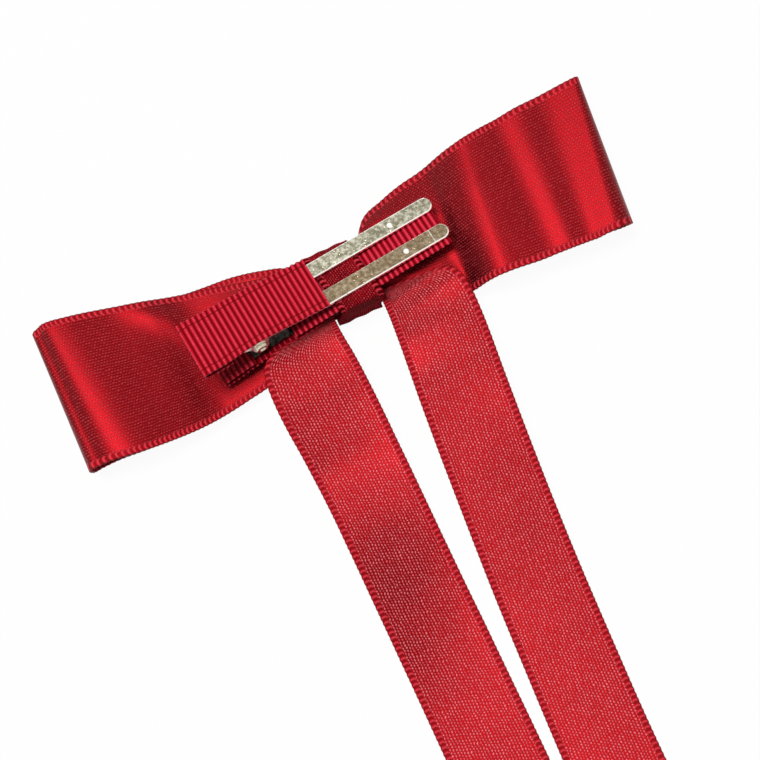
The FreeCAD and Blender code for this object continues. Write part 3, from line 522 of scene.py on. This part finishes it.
# the groove colour paints shade in the grooves and the selvage line, and the pale colour paints highlights on
# the crowns
grosgrainLook = {
    "wide": 9.4, "pitch": 0.97, "red": (0.42, 0.004, 0.012, 1), "pale": (0.80, 0.06, 0.11, 1),
    "grooveShade": (0.14, 0.0004, 0.002, 1), "sideFrom": 0.12, "crownFrom": 0.7, "lineShare": 0.75,
    "threadFrom": 0.25, "threadTo": 0.75, "faintest": 0.2, "threadHigh": 0.4, "rough": 0.5,
    "relief": 0.6, "reliefDeep": 0.00008, "shine": 0.4, "shineTint": (1.0, 0.05, 0.08, 1),
}
coverGrosgrain = grosgrainMaterial("coverGrosgrain", grosgrainLook)
liningGrosgrain = grosgrainMaterial("liningGrosgrain", {**grosgrainLook, "red": (0.40, 0.005, 0.018, 1)})
# the base cover's grosgrain is a darker copy of the cover's, painted shade for its place under the lever
baseGrosgrain = grosgrainMaterial("baseGrosgrain", {**grosgrainLook, "red": (0.34, 0.004, 0.014, 1)})
steelLook = {
    "bright": (0.46, 0.45, 0.36, 1), "dull": (0.22, 0.20, 0.13, 1), "cloudFrom": 0.35, "cloudTo": 0.66,
    "pit": (0.09, 0.07, 0.04, 1), "pitShare": 0.6, "size": 1.0, "relief": 0.5, "reliefDeep": 0.00005,
    "rough": 0.26, "smoother": 0.08, "rougher": 0.1, "roughFrom": 0.3, "roughTo": 0.7,
}
# the prongs' near-white colour paints highlights on the rims and dimple and colours the cross line; the brown
# paints a reflection on the outer prong
prongSteel = steelMaterial("prongSteel", {
    **steelLook, "bareAndGlint": (0.95, 0.93, 0.86, 1), "brown": (0.17, 0.10, 0.045, 1), "reflectionShare": 0.7,
    "prongs": {
        "middle": 2.75, "half": 1.35, "reach": 36.2, "divide": 0.8, "rim": 0.2, "rimCore": 0.12,
        "dimpleAt": 28.3, "dimpleHalf": 0.6, "dimpleCore": 0.3,
        "lineAt": 33.2, "lineHalf": 0.09, "lineCore": 0.03, "lineShare": 0.5,
    },
})
# the base jaw's steel is painted darker than the rest, painted shade for where it lies under the covers
baseSteel = steelMaterial("baseSteel", {
    **steelLook, "bright": (0.16, 0.15, 0.14, 1), "dull": (0.05, 0.045, 0.04, 1),
})
pinSteel = steelMaterial("pinSteel", {
    **steelLook, "bright": (0.80, 0.76, 0.62, 1), "dull": (0.50, 0.46, 0.34, 1), "rough": 0.2,
})
springSteel = steelMaterial("springSteel", {
    **steelLook, "bright": (0.35, 0.33, 0.30, 1), "dull": (0.18, 0.17, 0.15, 1),
})
redThread = threadMaterial({
    "wave": 14.0, "deep": (0.25, 0.002, 0.008, 1), "pale": (0.60, 0.02, 0.04, 1), "rough": 0.6,
    "relief": 0.5, "reliefDeep": 0.00005,
})
clearGlue = glueMaterial({
    "cloudScale": 500.0, "cloudFrom": 0.35, "cloudTo": 0.65, "deep": (0.80, 0.74, 0.60, 1),
    "pale": (0.88, 0.84, 0.74, 1), "rough": 0.3, "relief": 0.4, "reliefDeep": 0.0002,
    "milky": 0.3, "milkyReach": (0.0008, 0.0006, 0.0004),
})
print("materials built")

loops = {
    "thick": 0.24, "flat": 26.4, "selvage": 1.1, "rows": 800, "edgeColumns": 6, "innerColumns": 38,
    "scallop": 0.05, "ladder": 0.9, "backFrom": 2.4, "backTo": 3.6,
    "pleats": {"count": 3.5, "high": 0.22, "x": 9.0, "half": 4.2},
    "swell": {"x": -29.8, "y": 8.0, "lean": 0.75, "half": 3.3, "along": 5.0, "high": 0.75},
    "dent": {"x": 19.6, "y": -8.5, "half": 2.4, "along": 4.5, "deep": 0.9},
    "cup": {"x": 15.0, "half": 9.0, "deep": 1.5, "from": 4.0, "to": 13.0},
    # x, z, lower selvage y, upper selvage y of the ring's middle, lean of the crease in x for each mm in y
    "stations": [
        # up the rim on the lever's side and over its fold
        (-50.4, 4.1, -11.7, 13.2, 0), (-50.38, 5.6, -11.8, 13.2, 0),
        (-50.17, 6.55, -11.85, 13.3, -0.01), (-49.8, 7.1, -11.9, 13.45, -0.02),
        (-49.35, 7.31, -11.95, 13.6, -0.025), (-48.95, 7.34, -11.98, 13.7, -0.03),
        (-48.5, 7.39, -12.0, 13.8, -0.035), (-48.05, 7.52, -12.0, 13.88, -0.045),
        (-47.6, 7.69, -12.05, 13.92, -0.06), (-47.1, 7.84, -12.1, 13.95, -0.075),
        (-46.5, 7.94, -12.2, 13.95, -0.09), (-45.6, 7.97, -12.35, 13.9, -0.1),
        (-44.8, 7.92, -12.5, 13.85, -0.11), (-43.8, 7.79, -12.6, 13.72, -0.12),
        (-42.6, 7.55, -12.75, 13.55, -0.12),
        # down to the knot
        (-41.0, 7.12, -12.85, 13.35, -0.12), (-39.0, 6.53, -12.9, 13.02, -0.11),
        (-36.5, 5.8, -12.9, 12.5, -0.09), (-34.0, 5.12, -12.85, 11.9, -0.06),
        (-31.2, 4.3, -12.7, 11.3, -0.04), (-28.5, 3.5, -12.4, 10.75, -0.02),
        (-26.3, 3.05, -12.1, 10.3, 0), (-24.0, 2.85, -11.75, 9.8, 0),
        (-21.9, 2.8, -11.4, 9.35, 0), (-18.1, 2.95, -10.8, 8.4, 0),
        (-13.0, 3.3, -9.2, 7.1, 0), (-8.5, 3.6, -6.9, 5.9, 0),
        # over the knot
        (-5.0, 3.72, -4.95, 4.95, 0), (0.0, 3.75, -4.8, 4.8, 0),
        (5.0, 3.72, -4.95, 5.3, 0),
        # out along the prongs' side and over its three ridges
        (7.5, 3.75, -6.2, 8.5, 0), (11.9, 3.85, -8.9, 10.5, 0),
        (16.2, 3.9, -10.2, 11.8, 0.02), (18.6, 4.0, -10.5, 12.15, 0.05),
        (20.2, 4.35, -10.6, 12.4, 0.07), (21.5, 5.15, -10.65, 12.55, 0.08),
        (23.0, 6.0, -10.7, 12.75, 0.1), (24.2, 6.6, -10.8, 12.85, 0.11),
        (25.3, 6.92, -10.85, 12.95, 0.11), (26.4, 7.1, -10.95, 13.1, 0.11),
        (27.3, 7.11, -11.0, 13.2, 0.1), (28.5, 7.03, -11.1, 13.35, 0.09),
        (30.0, 6.89, -11.25, 13.5, 0.075), (31.5, 6.74, -11.4, 13.65, 0.065),
        (33.6, 6.55, -11.5, 13.8, 0.055), (34.7, 6.56, -11.53, 13.9, 0.05),
        (35.5, 6.64, -11.6, 13.97, 0.05), (36.3, 6.75, -11.67, 14.05, 0.055),
        (37.1, 6.83, -11.73, 14.13, 0.065), (38.0, 6.85, -11.78, 14.2, 0.08),
        (39.4, 6.76, -11.85, 14.27, 0.1), (41.0, 6.66, -11.93, 14.33, 0.115),
        (42.0, 6.68, -12.0, 14.4, 0.13), (42.9, 6.77, -12.1, 14.45, 0.145),
        (43.8, 6.91, -12.1, 14.48, 0.16), (44.8, 7.09, -12.1, 14.5, 0.17),
        (45.9, 7.27, -12.1, 14.5, 0.18), (46.9, 7.37, -12.1, 14.5, 0.175),
        # down its rim
        (47.7, 7.23, -12.05, 14.5, 0.15), (48.35, 6.75, -12.0, 14.5, 0.125),
        (48.8, 5.6, -11.9, 14.5, 0.107), (48.9, 4.1, -11.6, 14.5, 0.105),
        (48.7, 2.4, -11.2, 14.4, 0.105),
        # back along the front layer
        (47.5, 0.85, -10.8, 14.3, 0.1), (45.0, 0.25, -10.4, 14.2, 0.09),
        (36.0, 0.2, -9.9, 13.7, 0.04), (25.0, 0.22, -9.1, 12.6, 0),
        (16.0, 0.3, -8.6, 11.2, 0), (11.0, 0.55, -7.6, 9.6, 0),
        (7.5, 0.95, -6.0, 7.0, 0), (5.0, 1.08, -4.95, 4.95, 0),
        (0.0, 1.1, -4.8, 4.8, 0), (-5.0, 1.08, -4.95, 5.2, 0),
        (-7.5, 0.95, -6.2, 7.2, 0), (-11.0, 0.55, -8.2, 8.6, 0),
        (-16.0, 0.3, -9.9, 9.9, 0), (-22.0, 0.2, -10.4, 10.5, 0),
        (-27.0, 0.2, -11.1, 11.0, 0), (-34.0, 0.2, -11.5, 11.9, 0),
        (-41.0, 0.2, -11.2, 13.1, 0), (-46.6, 0.25, -10.8, 13.5, 0),
        (-48.9, 0.85, -11.0, 13.3, 0), (-50.2, 2.4, -11.5, 13.2, 0),
    ],
}


def loopSurface(p):
    # one closed ribbon: for each step along the ring, x and z follow the side line and y runs between the
    # two selvages; x also leans by lean*y; a diagonal swell and a dent are bells h*exp(-(x/a)^2 - (y/b)^2),
    # the upper selvage bows down beside the knot, and pleats b*cos(2 pi n share) gather there
    line, even = throughPoints(p["stations"], p["rows"], [0, 1], closed=True)
    x0, z0, low, high, lean = line.T
    wide = (high - low)[:, None]
    real, cut = acrossRibbon(high - low, p)
    y = low[:, None] + real
    x = x0[:, None] + lean[:, None] * y
    z = np.repeat(z0[:, None], y.shape[1], 1)
    back = softStep(p["backFrom"], p["backTo"], z0)[:, None]
    swell, dent, cup, pleats = p["swell"], p["dent"], p["cup"], p["pleats"]
    ridge = bump(x + swell["lean"] * (y - swell["y"]), swell["x"], swell["half"])
    ridge = ridge * bump(y, swell["y"], swell["along"])
    hollow = bump(x, dent["x"], dent["half"]) * bump(y, dent["y"], dent["along"])
    bowed = bump(np.abs(x), cup["x"], cup["half"]) * softStep(cup["from"], cup["to"], y)
    z = z + back * (swell["high"] * ridge - dent["deep"] * hollow - cup["deep"] * bowed)
    layer = np.where(z0 > p["backFrom"], 1, -1)[:, None]
    gathered = bump(np.abs(x), pleats["x"], pleats["half"]) * layer
    z = z + gathered * pleats["high"] * np.cos(2 * np.pi * pleats["count"] * real / wide)
    beat = np.cos(2 * np.pi * even[: len(x0)] / p["ladder"])[:, None]
    y = y + edgeSides(real, wide) * p["scallop"] * beat
    return np.stack([x, y, np.maximum(z, p["thick"] / 2)], -1), cut, even


points, cut, along = loopSurface(loops)
bowLoops = sheetMesh("bowLoops", points, cut, along, closed=True)
bowLoops.data.materials.append(loopSatin)
giveThickness(bowLoops, loops["thick"])
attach(bowLoops, "bow")
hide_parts("bow_loops")
print("loops made, ribbon length in mm:", round(float(along[-1]), 1))

tails = {
    "thick": 0.24, "flat": 15.0, "selvage": 1.0, "edgeColumns": 6, "innerColumns": 24, "rows": 830,
    "scallop": 0.05, "ladder": 0.9, "rise": 1.5, "swellX": 9.0,
    # inner selvage x, y, then outer selvage x, y, then height of the inner and the outer selvage
    "prongSide": [
        (4.95, -4.7, 5.9, -4.1, 4.4, 4.45), (4.98, -5.6, 9.2, -4.3, 4.5, 4.6),
        (5.0, -6.5, 12.8, -4.5, 4.65, 4.75), (4.98, -7.5, 15.9, -4.8, 4.85, 4.9),
        (4.95, -8.6, 17.8, -5.7, 5.0, 5.0), (4.88, -9.8, 18.8, -7.4, 5.2, 5.2),
        (4.75, -11.5, 19.15, -10.2, 5.45, 5.1), (4.5, -14.6, 19.1, -14.2, 5.8, 5.1),
        (4.1, -18.8, 18.8, -18.6, 5.65, 5.0), (3.65, -23.5, 18.35, -23.6, 4.95, 4.6),
        (3.2, -29.0, 17.9, -29.0, 4.1, 4.15), (2.15, -44.0, 16.8, -44.4, 2.1, 2.2),
        (1.3, -58.0, 16.05, -58.2, 0.75, 0.85), (0.8, -70.0, 15.6, -70.2, 0.3, 0.3),
        (0.3, -84.0, 15.15, -84.3, 0.2, 0.2), (0.0, -100.0, 15.0, -100.4, 0.2, 0.2),
        (0.0, -145.0, 15.0, -150.0, 0.2, 0.2), (0.0, -191.0, 15.0, -199.8, 0.2, 0.2),
    ],
    "leverSide": [
        (-3.45, -4.7, -4.4, -4.0, 4.75, 4.8), (-3.44, -5.4, -6.6, -5.5, 4.8, 6.0),
        (-3.42, -6.0, -8.6, -6.0, 4.9, 6.7), (-3.4, -6.7, -11.0, -6.35, 5.0, 6.95),
        (-3.36, -7.4, -13.4, -6.6, 5.1, 7.05), (-3.3, -8.2, -15.2, -7.0, 5.15, 7.05),
        (-3.22, -9.0, -16.6, -7.8, 5.15, 6.95), (-3.12, -10.0, -17.5, -8.9, 5.1, 6.75),
        (-2.95, -11.4, -17.95, -10.4, 4.95, 6.5), (-2.8, -13.2, -18.15, -12.6, 4.7, 6.2),
        (-2.65, -15.6, -18.2, -15.6, 4.3, 5.9), (-2.52, -18.8, -18.05, -19.2, 3.75, 5.45),
        (-2.4, -23.5, -17.65, -24.0, 3.2, 4.8), (-2.35, -27.5, -17.4, -28.0, 2.85, 4.15),
        (-2.27, -32.0, -17.15, -32.4, 2.65, 3.95), (-2.22, -36.0, -17.0, -36.2, 2.3, 3.85),
        (-2.18, -40.0, -16.9, -40.4, 1.85, 3.9), (-2.14, -44.0, -16.82, -44.4, 1.35, 3.7),
        (-2.08, -48.0, -16.78, -48.4, 0.85, 3.35), (-2.03, -52.0, -16.75, -52.3, 0.5, 2.85),
        (-1.95, -56.0, -16.72, -56.2, 0.33, 2.3), (-1.85, -60.0, -16.7, -60.2, 0.25, 1.75),
        (-1.78, -65.0, -16.65, -65.2, 0.22, 1.2), (-1.7, -70.0, -16.6, -70.2, 0.2, 0.85),
        (-1.6, -76.0, -16.55, -76.3, 0.2, 0.6), (-1.5, -84.0, -16.5, -84.3, 0.2, 0.45),
        (-1.4, -100.0, -16.4, -100.4, 0.2, 0.35), (-1.4, -145.0, -16.4, -150.0, 0.2, 0.2),
        (-1.4, -191.0, -16.4, -199.8, 0.2, 0.2),
    ],
    # swells of a lying ribbon: middle y, half length, height, lean
    "prongSwells": [(-96.0, 9.0, 0.5, 0.1), (-140.0, 12.0, 0.5, -0.1)],
    "leverSwells": [(-104.0, 9.0, 0.45, 0.1), (-150.0, 12.0, 0.5, -0.1)],
}


def tailSurface(p, stations, swells, sign):
    # rows join the inner selvage to the outer one, so the ribbon fans out at the knot; the height goes from
    # the inner selvage's to the outer one's with share^rise, plus swells
    # h*exp(-(y + lean*x - middle)^2 / half^2)
    rows = np.asarray(stations, float)
    middle = (rows[:, 0:2] + rows[:, 2:4]) / 2
    line, even = throughPoints(np.hstack([middle, rows]), p["rows"], [0, 1])
    inner, outer, innerZ, outerZ = line[:, 2:4], line[:, 4:6], line[:, 6, None], line[:, 7, None]
    wide = np.linalg.norm(outer - inner, axis=1)
    real, cut = acrossRibbon(wide, p)
    share = real / wide[:, None]
    flat = inner[:, None] * (1 - share[..., None]) + outer[:, None] * share[..., None]
    x, y = flat[..., 0], flat[..., 1]
    z = innerZ + (outerZ - innerZ) * share ** p["rise"]
    for at, half, high, lean in swells:
        z = z + high * bump(y + lean * (x - sign * p["swellX"]), at, half)
    beat = np.cos(2 * np.pi * even / p["ladder"])[:, None]
    x = x + edgeSides(real, wide[:, None]) * p["scallop"] * beat * sign
    return np.stack([x, y, z], -1), cut, even


for label, stations, swells, sign in (
    ("prongSideTail", tails["prongSide"], tails["prongSwells"], 1),
    ("leverSideTail", tails["leverSide"], tails["leverSwells"], -1),
):
    points, cut, along = tailSurface(tails, stations, swells, sign)
    tail = sheetMesh(label, points, cut, along, flip=sign < 0)
    tail.data.materials.append(tailSatin)
    giveThickness(tail, tails["thick"])
    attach(tail, "bow")
    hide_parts("tail_ribbon")
    print(label, "made, length in mm:", round(float(along[-1]), 1))

band = {
    "thick": 0.3, "flat": 10.0, "selvage": 0.9, "edgeColumns": 5, "innerColumns": 26, "rows": 220,
    "left": -3.2, "right": 4.7, "skew": 0.2, "skewFrom": 3.0, "skewTo": 7.0,
    "gathers": 2.6, "gatherHigh": 0.07, "gatherLean": 0.05, "middle": (0.0, 4.2), "lowest": 0.16,
    # y and z of the ring's middle, from the front round to the back
    "stations": [
        (-5.0, 0.2), (0.0, 0.2), (5.0, 0.2), (5.55, 0.6), (5.65, 2.0), (5.65, 5.0), (5.5, 6.6),
        (4.9, 7.15), (0.0, 7.83), (-4.8, 8.46), (-5.5, 8.2), (-5.65, 6.8), (-5.65, 3.0), (-5.6, 0.7),
    ],
}


def bandSurface(p):
    # a closed ring round the knot: y and z follow the ring, x runs across between the two selvages and leans
    # by skew*y on the back; soft gathers h*sin(2 pi (n share + lean y)) stand out from the ring's middle
    line, even = throughPoints(p["stations"], p["rows"], [0, 1], closed=True)
    y0, z0 = line.T
    wide = np.full(len(y0), p["right"] - p["left"])
    real, cut = acrossRibbon(wide, p)
    skew = p["skew"] * y0[:, None] * softStep(p["skewFrom"], p["skewTo"], z0)[:, None]
    wave = p["gathers"] * real / wide[:, None] + p["gatherLean"] * y0[:, None]
    gather = p["gatherHigh"] * np.sin(2 * np.pi * wave)
    out = unitRows(np.stack([y0, z0], 1) - p["middle"])
    y = y0[:, None] + out[:, :1] * gather
    z = np.maximum(z0[:, None] + out[:, 1:] * gather, p["lowest"])
    return np.stack([p["left"] + real - skew, y, z], -1), cut, even


points, cut, along = bandSurface(band)
centreBand = sheetMesh("centreBand", points, cut, along, closed=True, flip=True)
centreBand.data.materials.append(bandSatin)
giveThickness(centreBand, band["thick"])
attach(centreBand, "bow")
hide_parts("centre_band")

thread = {
    "radius": 0.16, "turns": 4, "step": 0.35, "halfHigh": 5.17, "low": 0.68, "high": 4.17,
    "corner": 0.35, "rows": 480,
}


def threadLine(p):
    # a rounded box path, |cos|^corner and |sin|^corner, that moves along x by one step a turn
    turn = np.linspace(0, 2 * np.pi * p["turns"], p["rows"])
    c, s = np.cos(turn), np.sin(turn)
    y = p["halfHigh"] * np.sign(c) * np.abs(c) ** p["corner"]
    z = (p["low"] + p["high"]) / 2 + (p["high"] - p["low"]) / 2 * np.sign(s) * np.abs(s) ** p["corner"]
    x = (turn / (2 * np.pi) - p["turns"] / 2) * p["step"]
    return np.stack([x, y, z], 1)


gatherThread = tubeMesh("gatherThread", threadLine(thread), thread["radius"])
gatherThread.data.materials.append(redThread)
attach(gatherThread, "bow")
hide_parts("gather_thread")
print("band and thread made")


def ribbedStrip(name, p, piece, face, material):
    # a grosgrain strip in the clip's frame, on a side path (x, z) at heights above a face, with its middle at
    # the piece's y: ribs h*cos(2 pi s / pitch), partly squared, stand out along the path's normal, lower at a
    # thin line beside each selvage; the edges are notched in step, and the rear end may flare towards -y
    path = [(x, face(at) + above) for x, at, above in piece["path"]]
    line, even = throughPoints(path, piece["rows"], [0, 1])
    ahead = unitRows(np.gradient(line, axis=0))
    out = np.stack([-ahead[:, 1], ahead[:, 0]], 1)
    real, cut = acrossRibbon(np.full(piece["rows"], p["flat"]), p)
    edge = np.minimum(real, p["flat"] - real)
    beat = np.cos(2 * np.pi * even / p["pitch"])[:, None]
    squared = np.sign(beat) * np.abs(beat) ** p["ribPower"]
    rib = p["ribRound"] * beat + (1 - p["ribRound"]) * squared
    sunk = bump(edge, p["lineAt"], p["lineHalf"])
    high = p["ribHigh"] * rib * (1 - p["lineFlat"] * sunk) - p["lineDeep"] * sunk
    high = high * softStep(p["edgeFrom"], p["edgeTo"], edge)
    rear = softStep(p["flareFrom"], p["flareTo"], line[:, :1])
    flare = piece["flare"] * rear * (1 - p["flareFade"] * real / p["flat"])
    y = piece["y"] - p["flat"] / 2 + real - flare
    y = y + edgeSides(real, p["flat"]) * p["notch"] * beat
    local = np.stack([line[:, :1] + out[:, :1] * high, y, line[:, 1:] + out[:, 1:] * high], -1)
    strip = sheetMesh(name, local @ clipTurn.T + pinMiddle, cut, even)
    strip.data.materials.append(material)
    giveThickness(strip, p["cloth"])
    return strip, float(even[-1])


lever = {"rootX": 13.4, "rootZ": -0.37, "endZ": 3.75, "long": 23.1}
base = {"z": -2.0, "bendX": 1.0, "fall": 10.0}
leverRise = lever["endZ"] - lever["rootZ"]
baseFall = math.radians(base["fall"])


def leverUnder(x):
    # the upper lever's underside, a straight line from the prongs' roots to the lever's end
    return lever["rootZ"] + (lever["rootX"] - x) * leverRise / lever["long"]


def baseInner(x):
    # the base jaw's inner face, level ahead of its bend and falling behind it
    return base["z"] - np.maximum(base["bendX"] - x, 0) * math.tan(baseFall)


lift = clip["gap"] + clip["stripHalf"]  # from a steel face to the middle of a strip laid on it
over = clip["steel"] + lift  # from a steel face, through the steel, to a strip on its other side
cover = {
    "y": 0.35, "rows": 330, "flare": 1.0,
    # x, the x at which the lever's underside is read, and the height above it
    "path": [
        (-5.1, -5.1, -lift), (-7.5, -7.5, -lift), (-9.3, -9.3, -lift), (-9.85, -9.8, -0.12),
        (-9.97, -9.9, 0.35), (-9.85, -9.8, 0.82), (-9.3, -9.3, over), (-6.0, -6.0, over),
        (0.0, 0.0, over), (6.0, 6.0, over), (13.1, 13.1, over),
    ],
}
leverCover, length = ribbedStrip("leverCover", clip, cover, leverUnder, coverGrosgrain)
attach(leverCover, "moving_jaw")
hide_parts("lever_cover")

lining = {
    "y": -0.4, "rows": 310, "flare": 0.0,
    "path": [(5.75, 5.75, lift), (15.0, 15.0, lift), (25.0, 25.0, lift), (35.6, 35.6, lift)],
}
baseLining, length = ribbedStrip("baseLining", clip, lining, baseInner, liningGrosgrain)
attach(baseLining, "bow")
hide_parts("base_lining")

under = {
    "y": -0.4, "rows": 240, "flare": 0.0,
    # x, the x at which the base's inner face is read, and the height above it
    "path": [
        (9.4, 9.4, -over), (5.0, 5.0, -over), (1.3, 1.3, -over), (-3.0, -3.0, -over),
        (-7.6, -7.6, -over), (-8.2, -8.2, -0.75), (-8.37, -8.3, -0.35), (-8.2, -8.2, 0.08),
        (-7.6, -7.6, lift), (-6.0, -6.0, lift), (-4.2, -4.2, lift), (-2.1, -2.1, lift),
    ],
}
baseCover, length = ribbedStrip("baseCover", clip, under, baseInner, baseGrosgrain)
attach(baseCover, "bow")
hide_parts("base_cover")
print("grosgrain made")

spring = {
    "coil": 1.32, "wire": 0.3, "sides": 12, "pitch": 0.68, "turns": 5, "leg": 6.2, "room": 0.85,
    "angles": (-0.2, 1.2, 8000), "coilRows": 260, "legRows": 24,
    "bendWay": (-0.5, 0.0, 0.866), "bendFrom": 1.0, "bendTo": 2.6,
}


def springLine(p):
    # in the clip's frame: a leg to the lever, a coil r(cos a, sin a) that moves along y by a pitch a turn,
    # and a leg to the base; each leg leaves on the coil's tangent, at the angle whose leg ends nearest to
    # its lever
    angle = np.linspace(*p["angles"])
    x = p["coil"] * np.sin(angle) - p["leg"] * np.cos(angle)
    z = p["coil"] * np.cos(angle) + p["leg"] * np.sin(angle)
    leverCosine = math.cos(math.atan(leverRise / lever["long"]))
    rise = angle[np.argmin(np.abs(z - leverUnder(x) + p["room"] / leverCosine))]
    fall = angle[np.argmin(np.abs(z + baseInner(x) + p["room"] / math.cos(baseFall)))]
    start = math.pi / 2 - rise
    stop = fall - math.pi / 2 - 2 * math.pi * p["turns"]
    turn = np.linspace(start, stop, p["coilRows"])
    y = (start - turn) / (2 * math.pi) * p["pitch"]
    coil = np.stack([p["coil"] * np.cos(turn), y - y[-1] / 2, p["coil"] * np.sin(turn)], 1)
    drift = p["pitch"] / (2 * math.pi * p["coil"])
    upperWay = np.array([-math.cos(rise), -drift, math.sin(rise)])
    lowerWay = np.array([-math.cos(fall), drift, -math.sin(fall)])
    gone = np.linspace(0, p["leg"], p["legRows"])[1:, None]
    upper = coil[0] + gone[::-1] * upperWay / np.linalg.norm(upperWay)
    lower = coil[-1] + gone * lowerWay / np.linalg.norm(lowerWay)
    return np.vstack([upper, coil, lower])


springPoints = springLine(spring) @ clipTurn.T + pinMiddle
torsionSpring = tubeMesh("torsionSpring", springPoints, spring["wire"], spring["sides"], clipTurn[:, 1])
torsionSpring.data.materials.append(springSteel)
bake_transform(torsionSpring)
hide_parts("torsion_spring")

# the rest of the metal and the glue keep their solids
for label, material in (
    ("prong_jaw", prongSteel), ("base_jaw", baseSteel), ("hinge_pin", pinSteel), ("glue_pad", clearGlue),
):
    solid = frame["nodes"][label]
    solid.data.materials.clear()
    solid.data.materials.append(material)
print("metal and glue finished")

stageLook = {
    "floorSize": 3.0, "floorDrop": 0.0001, "paint": (0.8, 0.8, 0.8, 1), "rough": 0.9, "white": 0.95,
    "fill": 0.17,
}
plainWhite = {"Color": (1, 1, 1, 1), "Strength": 1.0}


def seenRays(tree):
    # 1 for camera, glossy and transmission rays, and 0 for the light that falls on the bow
    path = addNode(tree, "ShaderNodeLightPath").outputs
    mirrored = sums(tree, "MAXIMUM", path["Is Glossy Ray"], path["Is Transmission Ray"])
    return sums(tree, "MAXIMUM", path["Is Camera Ray"], mirrored)


def buildFloor(p):
    # a flat square; white to the rays that are seen, with a share of plain paint for the shadow
    corners = np.array([[-1, -1, 0], [1, -1, 0], [1, 1, 0], [-1, 1, 0]]) * p["floorSize"] / 2
    mesh = bpy.data.meshes.new("floor")
    mesh.from_pydata(corners - [0, 0, p["floorDrop"]], [], [(0, 1, 2, 3)])
    floor = bpy.data.objects.new("floor", mesh)
    bpy.context.scene.collection.objects.link(floor)
    material, tree, shader = newMaterial("paleFloor")
    setInputs(tree, shader, {"Base Color": p["paint"], "Roughness": p["rough"]})
    share = sums(tree, "MULTIPLY", seenRays(tree), p["white"])
    glow = addNode(tree, "ShaderNodeEmission", plainWhite)
    mix = addNode(tree, "ShaderNodeMixShader", {0: share, 1: shader.outputs[0], 2: glow.outputs[0]})
    setInputs(tree, tree.nodes["Material Output"], {"Surface": mix.outputs[0]})
    mesh.materials.append(material)


def buildWorld(p):
    # soft white fill on the bow, seen as plain white
    world = bpy.data.worlds.new("studio")
    bpy.context.scene.world = world
    world.use_nodes = True
    tree = world.node_tree
    fill = addNode(tree, "ShaderNodeBackground", {**plainWhite, "Strength": p["fill"]})
    white = addNode(tree, "ShaderNodeBackground", plainWhite)
    mix = addNode(tree, "ShaderNodeMixShader", {0: seenRays(tree), 1: fill.outputs[0], 2: white.outputs[0]})
    setInputs(tree, tree.nodes["World Output"], {"Surface": mix.outputs[0]})


lampLook = {"direction": (-0.125, 0.11, 0.985), "far": 0.8, "size": 0.30, "power": 6.0}


def addLamp(name, p):
    # a round area lamp at a distance along a direction, facing the bow
    lamp = bpy.data.lights.new(name, "AREA")
    lamp.shape = "DISK"
    lamp.size = p["size"]
    lamp.energy = p["power"]
    made = bpy.data.objects.new(name, lamp)
    bpy.context.scene.collection.objects.link(made)
    way = np.array(p["direction"]) / np.linalg.norm(p["direction"])
    made.location = way * p["far"]
    made.rotation_euler = Vector(way).to_track_quat("Z", "Y").to_euler()


view = {
    "aim": (-0.00085, -0.01694, 0.0), "far": 0.2604, "tilt": 12.0, "turn": 24.7,
    "lens": 73.9, "sensor": 36.0, "clipStart": 0.01, "clipEnd": 10.0,
}


def placeCamera(p):
    # the camera looks down with a small tilt towards -Y and is turned about its own axis
    tilt, turn = math.radians(p["tilt"]), math.radians(p["turn"])
    back = Vector((0, -math.sin(tilt), math.cos(tilt)))
    level = Vector((1, 0, 0))
    ahead = back.cross(level)
    right = level * math.cos(turn) - ahead * math.sin(turn)
    up = level * math.sin(turn) + ahead * math.cos(turn)
    camera = bpy.data.cameras.new("camera")
    camera.lens = p["lens"]
    camera.sensor_width = p["sensor"]
    camera.clip_start = p["clipStart"]
    camera.clip_end = p["clipEnd"]
    made = bpy.data.objects.new("camera", camera)
    bpy.context.scene.collection.objects.link(made)
    turned = Matrix((right, up, back)).transposed().to_4x4()
    made.matrix_world = Matrix.Translation(Vector(p["aim"]) + back * p["far"]) @ turned
    bpy.context.scene.camera = made


buildFloor(stageLook)
buildWorld(stageLook)
addLamp("keyLamp", lampLook)
placeCamera(view)
bpy.context.scene.view_settings.view_transform = "Standard"
bpy.context.view_layer.update()
print("finished")
